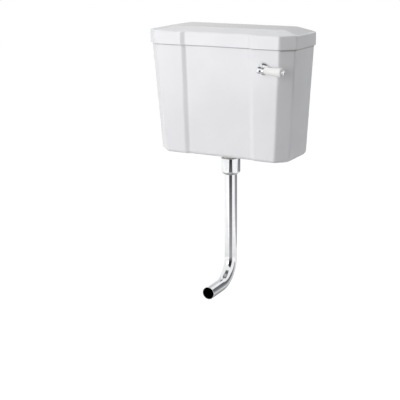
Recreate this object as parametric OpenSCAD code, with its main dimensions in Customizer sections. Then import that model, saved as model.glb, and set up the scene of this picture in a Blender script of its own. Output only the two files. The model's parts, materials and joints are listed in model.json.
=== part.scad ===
// Wall-hung toilet cistern with a front lever, a piston siphon, a float valve and a flush pipe.
// Origin: midway between the two wall fixing holes, on the wall face. +Y goes into the wall, +Z is up.

/* [Tank] */
// Width across the rim
tank_top_w = 453; // [440:1:480]
// Depth from the wall to the front at the rim
tank_top_d = 169; // [162:1:185]
// Width across the underside, before its edge is rounded
tank_base_w = 416; // [400:1:440]
// Depth from the wall to the front at the underside
tank_base_d = 154; // [150:1:165]
// Height from the underside to the rim
tank_h = 318; // [310:1:335]
// Leg of the cut at each front corner
corner_cut = 33; // [26:1:42]
// China thickness of the walls
wall = 10; // [8:0.5:12]
// China thickness of the floor
floor_t = 12; // [9:0.5:15]
// Radius of the rounded lower edge
base_round = 12; // [6:1:18]
// How far an upright edge is eased back along each of its faces
edge_ease = 5; // [2:0.5:5.5]

/* [Front panel] */
// Width of the sunk centre panel between its outer edges
panel_w = 222; // [180:1:236]
// Run of each sloped side of the panel
panel_slope = 12; // [11:0.5:18]
// Depth of the panel
panel_dip = 6; // [3:0.5:8]

/* [Lid] */
// Overhang of the lid past the rim
lid_overhang = 5.5; // [3:0.5:8]
// Height of the upright edge of the lid
lid_edge_h = 39; // [32:1:50]
// Rise of the crown above the upright edge
lid_crown_h = 12; // [8:1:18]
// Run of the crown from the edge to the flat top
lid_crown_run = 58; // [45:1:70]
// China thickness of the lid
lid_wall = 11; // [9:0.5:12]
// Depth of the locating lip inside the rim
lid_lip = 8; // [5:1:12]

/* [Wall fixings] */
// Distance of the fixing holes below the rim
fixing_drop = 26; // [22:1:30]
// Distance between the two fixing holes
fixing_pitch = 320; // [300:1:340]
// Diameter of a fixing hole
fixing_d = 8; // [6:0.5:10]

/* [Outlet and flush pipe] */
// Distance of the outlet axis from the wall
outlet_y = 79; // [74:1:82]
// Outside diameter of the thread on the siphon tail
tail_d = 47.8; // [46:0.1:50]
// Outside diameter of the flush pipe
pipe_d = 38.1; // [32:0.1:38.5]
// Wall of the flush pipe
pipe_t = 1.2; // [0.8:0.1:2]
// Drop from the underside of the tank to the start of the bend
pipe_drop = 318; // [200:1:600]
// Centre line radius of the bend
bend_r = 75; // [50:1:120]
// Straight length of the pipe after the bend
pipe_leg = 70; // [40:1:160]
// Metal round the thread of the union nut, to its flats
nut_wall = 2.8; // [2:0.1:4]
// Length of the hexagon of the union nut
nut_l = 40; // [36:1:50]
// Height of the rounded lower end of the union nut
nut_nose = 11; // [9:0.5:13]

/* [Siphon] */
// Distance between the two legs
siphon_pitch = 80; // [78:1:84]
// Clearance between the top of the siphon and the lift rod's eye at rest
guide_gap = 8.8; // [6:0.2:12]
// Outside diameter of the bell
bell_d = 84; // [78:1:86]
// Length of the up leg between the bell's shoulder and the bend
siphon_neck = 28; // [22:1:34]
// Wall of the moulding
siphon_t = 3; // [2:0.5:3.5]
// Diameter of the lift rod
rod_d = 6; // [5:0.5:7]
// Distance between the two bars of the lift link
link_l = 19; // [18:0.5:21]

/* [Lever] */
// Distance of the lever axis from the middle of the tank
lever_x = 146; // [140:1:152]
// Distance of the lever axis below the rim
lever_drop = 52; // [48:1:56]
// Stand-off of the hub centre from the front
hub_standoff = 25; // [23.5:0.5:32]
// Diameter of the ball of the hub
hub_d = 22; // [18:0.5:24]
// Diameter of the escutcheon
escutcheon_d = 34; // [30:1:40]
// Diameter of the spindle
spindle_d = 10; // [8:0.5:11]
// Length of the grip
grip_l = 51; // [35:1:70]
// Diameter of the grip at the hub
grip_d1 = 17.6; // [14:0.2:20]
// Diameter of the grip at its end
grip_d2 = 25.6; // [20:0.2:30]
// Droop of the grip below level at rest
grip_droop = 3; // [0:0.5:8]
// Turn of the lever from rest to its stop
lever_turn = 40; // [30:1:44]

/* [Float valve] */
// Distance of the valve axis from the wall
valve_y = 62; // [58:1:66]
// Distance of the valve axis below the rim
valve_drop = 54; // [50:1:60]
// Outside diameter of the inlet thread
inlet_d = 20.9; // [18:0.1:22]
// Free length of the inlet thread outside the tank
inlet_l = 27; // [18:1:32]
// Diameter of the float
float_d = 84; // [70:1:90]
// Drop of the float centre below the arm
float_drop = 72; // [64:1:80]
// Turn of the float arm from its low stop to shut
float_turn = 25; // [18:1:28]

/* [Clearances] */
// Running clearance of a shaft in its bore, each side
run_fit = 0.08; // [0.04:0.01:0.1]
// Clearance between pieces that are clamped or screwed together, each side
seat_fit = 0.05; // [0.02:0.01:0.1]
// Clearance between a thread and its nut, or a pipe and its socket, each side
slack = 0.3; // [0.2:0.05:0.5]

/* [Hidden] */
$fn = 64;

// Points on each eased edge
ease_steps = 4;
// Overshoot of a cut past the face it opens
over = 1;
// A corner cut loses this much of its leg for each unit that its outline moves inwards
cut_loss = 2 - sqrt(2);

panel_out = panel_w / 2;
panel_in = panel_out - panel_slope;
// Radius between the floor and the walls, inside
tank_floor_round = 10;

// Height of the fixing holes above the underside of the tank, which the origin sits at
fixing_z = tank_h - fixing_drop;

// Lid: outline, lip and edges
lid_hw = tank_top_w / 2 + lid_overhang;
lid_d = tank_top_d + lid_overhang;
lid_cut = corner_cut + cut_loss * lid_overhang;
lid_top_z = tank_h + lid_edge_h + lid_crown_h;
lip_gap = 2.5;
lip_t = 7;
lid_foot_round = 2;
lid_edge_round = 3.5;
// Slope of the crown, and the run before and after its corner with the flat top that eases it
crown_slope = lid_crown_h / lid_crown_run;
crown_ease = 9;
crown_end = lid_crown_run + crown_ease;
// Inset at which the crown has run past the edge of the sunk panel
crown_start = panel_dip + lid_edge_round + 2;
// Share of the corner cut that is left at the flat top
crown_cut = 0.35;
// Share of the crown's run that the hollow below it takes
ceiling_run = 0.75;
// Drop of the hollow's own edge below the lid's, in thicknesses of the lid
eaves_drop = 0.75;

// Least depth of a flat seat cut in a sloped wall, and its reach past what sits on it
seat_depth = 0.4;
seat_margin = 0.8;

// Lever: flat seats cut in the front wall, and the stack of pieces along its axis
lever_z = tank_h - lever_drop;
lever_seat_r = escutcheon_d / 2 + seat_margin;
lever_face = seat_depth - tank_d(lever_z - lever_seat_r);
lever_back = panel_dip + wall - tank_d(lever_z + lever_seat_r) - seat_depth;
escutcheon_washer_t = 1.5;
escutcheon_t = 3;
dome_h = 7;
dome_inset = 1;
escutcheon_front = lever_face - escutcheon_washer_t - escutcheon_t - dome_h;
spindle_r = spindle_d / 2;
bush_r = spindle_r + 4;
bush_hole_r = bush_r + 1;
lever_washer_t = 2;
lever_washer_r = bush_r + 6;
lever_nut_t = 6;
lever_nut_af = 2 * bush_r + 9;
bush_end = lever_back + lever_washer_t + lever_nut_t + 4;
hub_y = lever_face - hub_standoff;
hub_r = hub_d / 2;
hub_neck_r = spindle_r + 2.5;
hub_boss_r = grip_d1 / 2 - 0.8;
hub_boss_l = hub_r + 1.5;
// Turns the ball's seam away from the neck and the grip
seam_turn = 225;
stud_r = 3;
stud_in = spindle_r + seat_fit + 1.2;
stud_in_cap = 5;
collar_t = 3;
collar_lip = 0.7;
grip_z0 = hub_boss_l + collar_t;
grip_z1 = grip_z0 + grip_l;
grip_end_ease = 5;
cap_r = 0.63 * grip_d2 / 2;
cap_base = 2;
cap_rise = 5.5;

// Crank: its arm swings evenly about the level, so the lift rod hangs at the middle of its sideways play
half_turn = lever_turn / 2;
crank_y = -outlet_y;
crank_l = 2 * (lever_x - siphon_pitch) / (1 + cos(half_turn));
crank_t = 4;
crank_w = 14;
crank_boss_r = spindle_r + 4;
crank_boss_t = 12;
slot_r = 3.4;
slot_run = 4;
screw_r = 2.5;
screw_head_r = 4.2;
screw_head_h = 3.5;
spindle_end = crank_y + crank_boss_t / 2 + 2;

// Lift link and lift rod
link_r = 1.75;
link_reach = 5;
link_side = 6;
link_top_z = lever_z - crank_l * sin(half_turn);
eye_z = link_top_z - link_l;
eye_w = 10;
eye_h = 14;
eye_t = 4;
rod_r = rod_d / 2;
rod_head_r = rod_r + 3;
rod_head_t = 3;
rod_nut_af = rod_d + 4;
rod_nut_t = 5;

// Siphon
pipe_r = pipe_d / 2;
leg_bore = pipe_r + slack + seat_fit;
leg_r = leg_bore + siphon_t;
siphon_washer_t = 2;
siphon_nut_t = 8;
nut_top = siphon_washer_t + siphon_nut_t + 2;
tail_r = tail_d / 2;
tail_l = nut_top + nut_l - 6;
outlet_hole_r = tail_r + 1.5;
seal_t = 4;
flange_r = outlet_hole_r + 7.5;
flange_z = floor_t + seal_t;
flange_t = 5;
guide_r = rod_r + 3;
guide_low = sqrt(pow(siphon_pitch / 2 + leg_bore, 2) - pow(siphon_pitch / 2, 2)) - 4;
guide_h = 16;
// The bend hangs as high as the lift rod's eye lets it, and the bell fills the height that is left
siphon_bend_h = eye_z - eye_h / 2 - guide_gap - guide_h - guide_low;
bell_r = bell_d / 2;
bell_z = floor_t + 6;
bell_shoulder = 22;
bell_h = siphon_bend_h - siphon_neck - bell_shoulder - bell_z;
web_t = 5;
web_low = 22;
web_top = 10;
web_h = bell_h - web_low - web_top;
plate_gap = 0.5;
plate_r = bell_r - siphon_t - plate_gap;
plate_z = bell_z + 4;
plate_t = 4;
plate_holes = 6;
plate_hole_r = 7;
plate_hole_ring = 0.58 * plate_r;
flap_t = 1;
flap_margin = 2;
siphon_nut_af = 2 * flange_r - 6;

// Union nut, its seal and the pipe
nut_af = tail_d + 2 * (slack + nut_wall);
nut_corner_r = nut_af / sqrt(3);
nut_chamfer = 2.2;
// Taken off the corners and the top of the flats by turning
nut_crest = 0.4;
// Share of the nose's height at which its rounding turns
nut_knee = 0.7;
// Turn of the hexagon from the seam of its turned outline, and of the whole nut
nut_seam = 45;
nut_turn = 14;
cone_h = 8;
pipe_in_tail = 6;

// Float valve: flat seats cut in the left side wall, and the stack of pieces along its axis
valve_z = tank_h - valve_drop;
valve_nut_af = inlet_d + 9;
valve_seat_r = valve_nut_af / sqrt(3) + seat_margin;
valve_out = seat_depth - tank_hw(valve_z - valve_seat_r);
valve_in = wall - tank_hw(valve_z + valve_seat_r) - seat_depth;
inlet_r = inlet_d / 2;
shank_r = inlet_r + 0.4;
valve_washer_t = 2;
valve_washer_r = inlet_r + 6;
valve_nut_t = 7;
inlet_start = valve_out - valve_washer_t - valve_nut_t;
inlet_end = inlet_start - inlet_l;
valve_x = valve_in + valve_washer_t + valve_nut_t;
valve_r = 15;
valve_l = 58;
waterway_r = 4;
nozzle_x = valve_x + 8;
nozzle_l = 8;
nozzle_r = 6;
nozzle_nose = 2;
nozzle_nose_r = 4.5;
nozzle_bore_r = 2.5;
chamber_x = nozzle_x + nozzle_l;
chamber_r = 8 + run_fit;
valve_cap_t = 4;
valve_cap_grip = 6;
valve_cap_r = valve_r + 2;
spout_x = chamber_x + 6;
spout_r = 6;
spout_l = 12;
pivot_drop = 24;
pivot_x = valve_x + 40;
pivot_z = valve_z - pivot_drop;
pin_r = 2;
half_float = float_turn / 2;
piston_travel = 2 * pivot_drop * sin(half_float);
piston_r = 8;
piston_l = 24;
shut_gap = 0.3;
washer_x = chamber_x + nozzle_nose + shut_gap + piston_travel;
piston_washer_t = 3;
piston_washer_r = 7;
piston_x = washer_x + piston_washer_t;
lug_r = 3.6;
lug_t = 6;
lug_gap = 0.5;
// Half width of the lug below its rounded end, which leaves it room to lean in the piston
lug_neck = 1.8;
lug_x = pivot_x + pivot_drop * sin(half_float);
lug_slot_h = 5;
ear_t = 3.4;
ear_r = 6;
arm_root_r = 5;
arm_r = 3;
float_r = float_d / 2;
float_t = 2;
float_gap = 12;
float_socket = 9;
// The arm is as long as it can be with the shut float clear of the siphon
arm_l = -(leg_r + float_gap + float_r) - pivot_x;

function lerp(a, b, t) = a + (b - a) * t;

// Half width and depth of the tank outside at height z
function tank_hw(z) = lerp(tank_base_w, tank_top_w, z / tank_h) / 2;
function tank_d(z) = lerp(tank_base_d, tank_top_d, z / tank_h);

// A corner p between a and b, eased from s before it to s after it
function bend(a, p, b, s) =
    let (p0 = p + s * (a - p) / norm(a - p), p1 = p + s * (b - p) / norm(b - p))
    [for (i = [0 : ease_steps]) let (t = i / ease_steps)
        (1 - t) * (1 - t) * p0 + 2 * t * (1 - t) * p + t * t * p1];

// Plan outline, anticlockwise from the back left corner: cut front corners and a front sunk by dip
function plan(hw, back, d, cut, dip) = [
    [-hw, -back],
    [-hw, cut - d], [cut - hw, -d],
    [-panel_out, -d], [-panel_in, dip - d],
    [panel_in, dip - d], [panel_out, -d],
    [hw - cut, -d], [hw, cut - d],
    [hw, -back]
];

// Depth of a point on the front below the front's own line, within the sunk panel
function sunk(p, front) = abs(p[0]) < panel_out + edge_ease ? p[1] - front : 0;

// A plan with all its corners eased, at height z, from the middle of its back, rising into the sunk panel
function ring(corners, z, slope = 0) =
    let (n = len(corners), front = corners[3][1])
    [[0, corners[0][1], z],
     for (k = [0 : n - 1])
        each [for (p = bend(corners[(k + n - 1) % n], corners[k], corners[(k + 1) % n], edge_ease))
            [p[0], p[1], z + slope * sunk(p, front)]]];

// Outside and inside of the tank, moved inwards by inset
function tank_outside(z, inset) =
    ring(plan(tank_hw(z) - inset, inset, tank_d(z) - inset, corner_cut - cut_loss * inset, panel_dip), z);
function tank_inside(z, inset) =
    ring(plan(tank_hw(z) - wall - inset, wall + inset, tank_d(z) - panel_dip - wall - inset,
              corner_cut - cut_loss * (wall + inset), 0), z);

// Outside of the lid's upright edge and of its crown, its hollow with t from 0 at the edge to 1 at the top,
// and its lip
function lid_outside(inset, z) =
    ring(plan(lid_hw - inset, 0, lid_d - inset, lid_cut, panel_dip), z);
function crown_ring(inset, z) =
    ring(plan(lid_hw - inset, 0, lid_d - inset, lid_cut * lerp(1, crown_cut, inset / crown_end),
              inset < crown_start ? panel_dip : 0), z, crown_slope);
function lid_inside(inset, z, t) =
    ring(plan(lid_hw - lid_wall - inset, lid_wall, lid_d - panel_dip - lid_wall - inset,
              lid_cut * lerp(1, crown_cut, t), 0), z);
function lid_lip_ring(inset, z) =
    let (off = wall + lip_gap + inset)
    ring(plan(tank_top_w / 2 - off, off, tank_top_d - panel_dip - off, corner_cut - cut_loss * off, 0), z);

// Height of the crown where it is inset from the edge: a slope, eased into the flat top
function crown_z(inset) =
    inset < lid_crown_run - crown_ease ? tank_h + lid_edge_h + crown_slope * inset
    : lid_top_z - crown_slope * pow(crown_end - inset, 2) / (4 * crown_ease);

// Skin through a list of rings with equal counts, closed by fans from the first point of the end rings
module loft(rings) {
    n = len(rings[0]);
    m = len(rings);
    sides = [for (i = [0 : m - 2], k = [0 : n - 1])
        let (a = i * n + k, b = i * n + (k + 1) % n)
        each [[a, a + n, b + n], [a, b + n, b]]];
    last = (m - 1) * n;
    ends = [for (k = [1 : n - 2]) each [[0, k, k + 1], [last, last + k + 1, last + k]]];
    polyhedron([for (r = rings) each r], concat(sides, ends));
}

// Everything is drawn from the underside of the tank and then moved to the origin at the fixings
module placed() {
    translate([0, 0, -fixing_z]) children();
}

module rod_x(x0, x1, y, z, r) {
    translate([x0, y, z]) rotate([0, 90, 0]) cylinder(h = x1 - x0, r = r);
}

module rod_y(x, y0, y1, z, r) {
    translate([x, y0, z]) rotate([-90, 0, 0]) cylinder(h = y1 - y0, r = r);
}

module rod_z(x, y, z0, z1, r) {
    translate([x, y, z0]) cylinder(h = z1 - z0, r = r);
}

// Flat ring or plain washer along +Z
module washer(outer, inner, t) {
    difference() {
        cylinder(h = t, r = outer);
        translate([0, 0, -over]) cylinder(h = t + 2 * over, r = inner);
    }
}

// Hexagon nut along +Z
module hex_nut(af, bore, t) {
    difference() {
        cylinder(h = t, r = af / sqrt(3), $fn = 6);
        translate([0, 0, -over]) cylinder(h = t + 2 * over, r = bore);
    }
}

// Frame of the lever stack: +Z points out of the front along the spindle
module at_lever(y) {
    translate([lever_x, y, lever_z]) rotate([90, 0, 0]) children();
}

// Frame of the grip: +Z points along it from the hub centre
module at_grip() {
    translate([lever_x, hub_y, lever_z]) rotate([0, 90 + grip_droop, 0]) children();
}

// Frame of the crank at rest: +X points along the arm, -Z is its upper side
module at_crank() {
    translate([lever_x, crank_y, lever_z]) rotate([0, 180 - half_turn, 0]) children();
}

// Frame of the valve stack: +Z points into the tank along the inlet
module at_valve(x) {
    translate([x, -valve_y, valve_z]) rotate([0, 90, 0]) children();
}

// Frame of the float arm pivot
module at_pivot() {
    translate([pivot_x, -valve_y, pivot_z]) children();
}

module at_bell(z) {
    translate([siphon_pitch, -outlet_y, z]) children();
}

module at_outlet(z) {
    translate([0, -outlet_y, z]) children();
}

// China

module tank() {
    outside = concat(
        [for (a = [0 : 15 : 90]) tank_outside(base_round * (1 - cos(a)), base_round * (1 - sin(a)))],
        [tank_outside(tank_h, 0)]);
    inside = concat(
        [tank_inside(tank_h, 0)],
        [for (a = [90 : -30 : 0])
            tank_inside(floor_t + tank_floor_round * (1 - cos(a)), tank_floor_round * (1 - sin(a)))]);
    color("white") placed() difference() {
        loft(concat(outside, inside));
        rod_z(0, -outlet_y, -over, floor_t + over, outlet_hole_r);
        for (side = [-1, 1])
            rod_y(side * fixing_pitch / 2, -wall - over, over, fixing_z, fixing_d / 2);
        rod_y(lever_x, lever_face - over, lever_back + over, lever_z, bush_hole_r);
        rod_y(lever_x, lever_face - wall, lever_face, lever_z, lever_seat_r);
        rod_y(lever_x, lever_back, lever_back + wall, lever_z, lever_seat_r);
        rod_x(valve_out - over, valve_in + over, -valve_y, valve_z, shank_r + over);
        rod_x(valve_out - wall, valve_out, -valve_y, valve_z, valve_seat_r);
        rod_x(valve_in, valve_in + wall, -valve_y, valve_z, valve_seat_r);
    }
}

module lid() {
    edge_z = tank_h + lid_edge_h;
    hollow = [
        lid_inside(ceiling_run * lid_crown_run, lid_top_z - lid_wall, 1),
        lid_inside(0, edge_z - eaves_drop * lid_wall, 0),
        lid_inside(0, tank_h + lip_t + lip_gap, 0),
        lid_lip_ring(lip_t, tank_h),
        lid_lip_ring(lip_t, tank_h - lid_lip),
        lid_lip_ring(0, tank_h - lid_lip),
        lid_lip_ring(0, tank_h)
    ];
    foot = [for (a = [0 : 45 : 90])
        lid_outside(lid_foot_round * (1 - sin(a)), tank_h + lid_foot_round * (1 - cos(a)))];
    shoulder_start = [0, edge_z - lid_edge_round];
    shoulder_end = [lid_edge_round, crown_z(lid_edge_round)];
    shoulder = [for (i = [0 : ease_steps])
        let (t = i / ease_steps,
             p = (1 - t) * (1 - t) * shoulder_start + 2 * t * (1 - t) * [0, edge_z] + t * t * shoulder_end)
        crown_ring(p[0], p[1])];
    crown = [for (inset = [crown_start, each [lid_crown_run - crown_ease : crown_ease / 2 : crown_end]])
        crown_ring(inset, crown_z(inset))];
    color("white") placed() loft(concat(hollow, foot, shoulder, crown));
}

// Lever

module lever_escutcheon() {
    dome_r = escutcheon_d / 2 - dome_inset;
    dome_sphere = (dome_r * dome_r + dome_h * dome_h) / (2 * dome_h);
    bush_l = bush_end - lever_face + escutcheon_washer_t;
    color("silver") placed() at_lever(lever_face - escutcheon_washer_t) difference() {
        union() {
            cylinder(h = escutcheon_t, r = escutcheon_d / 2);
            intersection() {
                translate([0, 0, escutcheon_t + dome_h - dome_sphere]) sphere(r = dome_sphere);
                translate([0, 0, escutcheon_t]) cylinder(h = dome_h, r = dome_r);
            }
            translate([0, 0, -bush_l]) cylinder(h = bush_l, r = bush_r);
        }
        translate([0, 0, -bush_l - over])
            cylinder(h = bush_l + escutcheon_t + dome_h + 2 * over, r = spindle_r + run_fit);
    }
}

module escutcheon_washer() {
    color("dimgray") placed() at_lever(lever_face)
        washer(escutcheon_d / 2 - dome_inset, bush_r + slack, escutcheon_washer_t);
}

module lever_inner_washer() {
    color("dimgray") placed() at_lever(lever_back + lever_washer_t)
        washer(lever_washer_r, bush_r + slack, lever_washer_t);
}

module lever_back_nut() {
    color("goldenrod") placed() at_lever(lever_back + lever_washer_t + lever_nut_t)
        hex_nut(lever_nut_af, bush_r + seat_fit, lever_nut_t);
}

module lever_spindle() {
    color("silver") placed() rod_y(lever_x, hub_y, spindle_end, lever_z, spindle_r);
}

module lever_hub() {
    color("silver") placed() difference() {
        union() {
            translate([lever_x, hub_y, lever_z]) rotate([0, 0, seam_turn]) sphere(r = hub_r);
            rod_y(lever_x, hub_y, escutcheon_front - slack, lever_z, hub_neck_r);
            at_grip() cylinder(h = hub_boss_l, r = hub_boss_r);
        }
        rod_y(lever_x, hub_y, escutcheon_front + over, lever_z, spindle_r + seat_fit);
        at_grip() translate([0, 0, stud_in - slack]) cylinder(h = hub_boss_l, r = stud_r + seat_fit);
    }
}

module grip_stud() {
    color("silver") placed() at_grip() translate([0, 0, stud_in])
        cylinder(h = grip_z1 + stud_in_cap - stud_in, r = stud_r);
}

module grip_collar() {
    color("silver") placed() at_grip() translate([0, 0, hub_boss_l])
        washer(grip_d1 / 2 + collar_lip, stud_r + seat_fit, collar_t);
}

module lever_grip() {
    start = [grip_d1 / 2, grip_z0];
    corner = [grip_d2 / 2, grip_z1];
    finish = [stud_r + seat_fit, grip_z1];
    color("white") placed() at_grip() rotate_extrude()
        polygon(concat([[stud_r + seat_fit, grip_z0], start], bend(start, corner, finish, grip_end_ease), [finish]));
}

module grip_end_cap() {
    cap_sphere = (cap_r * cap_r + cap_rise * cap_rise) / (2 * cap_rise);
    color("silver") placed() at_grip() translate([0, 0, grip_z1]) difference() {
        intersection() {
            translate([0, 0, cap_base + cap_rise - cap_sphere]) sphere(r = cap_sphere);
            cylinder(h = cap_base + cap_rise + over, r = cap_r);
        }
        translate([0, 0, -over]) cylinder(h = stud_in_cap + slack + over, r = stud_r + seat_fit);
    }
}

module crank_arm() {
    color("gainsboro") placed() at_crank() difference() {
        union() {
            rod_y(0, -crank_boss_t / 2, crank_boss_t / 2, 0, crank_boss_r);
            translate([0, -crank_t / 2, -crank_w / 2]) cube([crank_l + slot_run, crank_t, crank_w]);
            rod_y(crank_l + slot_run, -crank_t / 2, crank_t / 2, 0, crank_w / 2);
        }
        rod_y(0, -crank_boss_t, crank_boss_t, 0, spindle_r + seat_fit);
        for (end = [-1, 1])
            rod_y(crank_l + end * slot_run, -crank_t, crank_t, 0, slot_r);
        translate([crank_l - slot_run, -crank_t, -slot_r]) cube([2 * slot_run, 2 * crank_t, 2 * slot_r]);
        rod_z(0, 0, -2 * crank_boss_r, 0, screw_r + seat_fit);
    }
}

module crank_screw() {
    color("silver") placed() at_crank() {
        rod_z(0, 0, -crank_boss_r, -spindle_r - seat_fit, screw_r);
        rod_z(0, 0, -crank_boss_r - screw_head_h, -crank_boss_r, screw_head_r);
    }
}

module lift_link() {
    color("silver") placed() translate([siphon_pitch, crank_y, 0]) {
        for (z = [eye_z, link_top_z]) {
            rod_y(0, -link_reach, link_side, z, link_r);
            translate([0, link_side, z]) sphere(r = link_r);
        }
        rod_z(0, link_side, eye_z, link_top_z, link_r);
    }
}

// Siphon

module siphon_legs(leg, bell, inner) {
    half = siphon_pitch / 2;
    shoulder_z = bell_z + bell_h;
    at_outlet(-tail_l - inner) cylinder(h = tail_l + inner + siphon_bend_h, r = leg);
    translate([half, -outlet_y, siphon_bend_h]) rotate([90, 0, 0])
        rotate_extrude(angle = 180) translate([half, 0]) circle(r = leg);
    at_bell(0) rotate_extrude() polygon([
        [0, bell_z - inner], [bell, bell_z - inner], [bell, shoulder_z],
        [leg, shoulder_z + bell_shoulder], [leg, siphon_bend_h], [0, siphon_bend_h]
    ]);
}

module siphon_housing() {
    color("ivory") placed() difference() {
        union() {
            difference() {
                union() {
                    siphon_legs(leg_r, bell_r, 0);
                    at_outlet(-tail_l) cylinder(h = tail_l + flange_z, r = tail_r);
                    at_outlet(flange_z) cylinder(h = flange_t, r = flange_r);
                    at_outlet(bell_z + web_low) translate([0, -web_t / 2, 0]) cube([siphon_pitch, web_t, web_h]);
                }
                siphon_legs(leg_bore, bell_r - siphon_t, over);
            }
            at_bell(siphon_bend_h + guide_low) cylinder(h = guide_h, r = guide_r);
        }
        at_bell(siphon_bend_h) cylinder(h = 2 * siphon_pitch, r = rod_r + run_fit);
    }
}

module siphon_seal() {
    color("dimgray") placed() at_outlet(floor_t) washer(flange_r, tail_r + slack, seal_t);
}

module siphon_washer() {
    color("gainsboro") placed() at_outlet(-siphon_washer_t) washer(flange_r, tail_r + slack, siphon_washer_t);
}

module siphon_back_nut() {
    color("ivory") placed() at_outlet(-siphon_washer_t - siphon_nut_t)
        hex_nut(siphon_nut_af, tail_r + seat_fit, siphon_nut_t);
}

module lift_rod() {
    color("silver") placed() at_bell(0) difference() {
        union() {
            rod_z(0, 0, plate_z, eye_z, rod_r);
            rod_z(0, 0, plate_z - rod_head_t, plate_z, rod_head_r);
            translate([-eye_w / 2, -eye_t / 2, eye_z - eye_h / 2]) cube([eye_w, eye_t, eye_h]);
        }
        rod_y(0, -eye_w, eye_w, eye_z, link_r + slack);
    }
}

module rod_nut() {
    color("goldenrod") placed() at_bell(plate_z + plate_t + flap_t)
        hex_nut(rod_nut_af, rod_r + seat_fit, rod_nut_t);
}

module piston_plate() {
    color("ivory") placed() at_bell(plate_z) difference() {
        washer(plate_r, rod_r + seat_fit, plate_t);
        for (i = [0 : plate_holes - 1])
            rotate([0, 0, i * 360 / plate_holes]) rod_z(plate_hole_ring, 0, -over, plate_t + over, plate_hole_r);
    }
}

module piston_flap() {
    color("whitesmoke") placed() at_bell(plate_z + plate_t)
        washer(plate_r - flap_margin, rod_r + seat_fit, flap_t);
}

// Flush pipe

module union_nut() {
    low = -nut_top - nut_l;
    nose = low - nut_nose;
    mouth = pipe_r + nut_chamfer;
    side = [nut_corner_r - nut_crest, -nut_top - nut_chamfer];
    knee = [nut_corner_r - nut_chamfer, low - nut_knee * nut_nose];
    color("silver") placed() at_outlet(0) rotate([0, 0, nut_turn]) difference() {
        intersection() {
            translate([0, 0, nose]) rotate([0, 0, nut_seam])
                cylinder(h = nut_l + nut_nose, r = nut_corner_r, $fn = 6);
            rotate_extrude() polygon(concat(
                [[0, nose], [mouth, nose]],
                bend([mouth, nose], knee, side, nut_nose),
                [side, [nut_af / 2 - nut_crest, -nut_top], [0, -nut_top]]));
        }
        rod_z(0, 0, -tail_l - cone_h, over - nut_top, tail_r + slack);
        rod_z(0, 0, nose - over, over - nut_top, pipe_r + slack);
    }
}

module cone_seal() {
    color("dimgray") placed() at_outlet(-tail_l - cone_h) washer(tail_r, pipe_r + seat_fit, cone_h);
}

module pipe_section() {
    difference() {
        circle(r = pipe_r);
        circle(r = pipe_r - pipe_t);
    }
}

module flush_pipe() {
    top = pipe_in_tail - tail_l;
    color("silver") placed() at_outlet(-pipe_drop) {
        linear_extrude(height = pipe_drop + top) pipe_section();
        translate([0, -bend_r, 0]) rotate([-90, 0, 90])
            rotate_extrude(angle = 90) translate([bend_r, 0]) pipe_section();
        translate([0, -bend_r, -bend_r]) rotate([90, 0, 0]) linear_extrude(height = pipe_leg) pipe_section();
    }
}

// Float valve

module valve_body() {
    ear_in = lug_t / 2 + lug_gap;
    slot_half = pivot_drop * sin(half_float) + lug_r + lug_gap;
    color("goldenrod") placed() difference() {
        union() {
            rod_x(inlet_end, inlet_start + over, -valve_y, valve_z, inlet_r);
            rod_x(inlet_start, nozzle_x, -valve_y, valve_z, shank_r);
            rod_x(valve_x, valve_x + valve_l, -valve_y, valve_z, valve_r);
            rod_z(spout_x, -valve_y, valve_z - valve_r - spout_l, valve_z, spout_r);
            for (y = [ear_in, -ear_in - ear_t]) at_pivot() {
                rod_y(0, y, y + ear_t, 0, ear_r);
                translate([-ear_r, y, 0]) cube([2 * ear_r, ear_t, pivot_drop - chamber_r - over]);
            }
        }
        rod_x(inlet_end - over, nozzle_x + over, -valve_y, valve_z, waterway_r);
        rod_x(nozzle_x, chamber_x + over, -valve_y, valve_z, nozzle_r + seat_fit);
        rod_x(chamber_x, valve_x + valve_l + over, -valve_y, valve_z, chamber_r);
        rod_z(spout_x, -valve_y, valve_z - valve_r - spout_l - over, valve_z, waterway_r);
        translate([pivot_x - slot_half, -valve_y - ear_in, valve_z - 2 * valve_r])
            cube([2 * slot_half, 2 * ear_in, 2 * valve_r]);
        at_pivot() rod_y(0, -valve_r, valve_r, 0, pin_r + seat_fit);
    }
}

module valve_seat() {
    color("whitesmoke") placed() at_valve(nozzle_x) difference() {
        union() {
            cylinder(h = nozzle_l, r = nozzle_r);
            translate([0, 0, nozzle_l]) cylinder(h = nozzle_nose, r = nozzle_nose_r);
        }
        translate([0, 0, -over]) cylinder(h = nozzle_l + nozzle_nose + 2 * over, r = nozzle_bore_r);
    }
}

module valve_cap() {
    color("goldenrod") placed() at_valve(valve_x + valve_l - valve_cap_grip) difference() {
        cylinder(h = valve_cap_grip + valve_cap_t, r = valve_cap_r);
        translate([0, 0, -over]) cylinder(h = valve_cap_grip + over, r = valve_r + seat_fit);
    }
}

module valve_nuts() {
    color("goldenrod") placed() {
        for (x = [inlet_start, valve_in + valve_washer_t])
            at_valve(x) hex_nut(valve_nut_af, shank_r + seat_fit, valve_nut_t);
    }
}

module valve_washers() {
    color("dimgray") placed() {
        for (x = [valve_out - valve_washer_t, valve_in])
            at_valve(x) washer(valve_washer_r, shank_r + slack, valve_washer_t);
    }
}

module valve_piston() {
    slot_half = lug_r + lug_gap;
    color("whitesmoke") placed() difference() {
        rod_x(piston_x, piston_x + piston_l, -valve_y, valve_z, piston_r);
        translate([lug_x - slot_half, -valve_y - lug_t / 2 - lug_gap, valve_z - 2 * piston_r])
            cube([2 * slot_half, lug_t + 2 * lug_gap, 2 * piston_r + lug_slot_h]);
    }
}

module piston_washer() {
    color("dimgray") placed() rod_x(washer_x, piston_x, -valve_y, valve_z, piston_washer_r);
}

module arm_pin() {
    pin_half = lug_t / 2 + lug_gap + ear_t + over;
    color("silver") placed() at_pivot() rod_y(0, -pin_half, pin_half, 0, pin_r);
}

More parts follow.
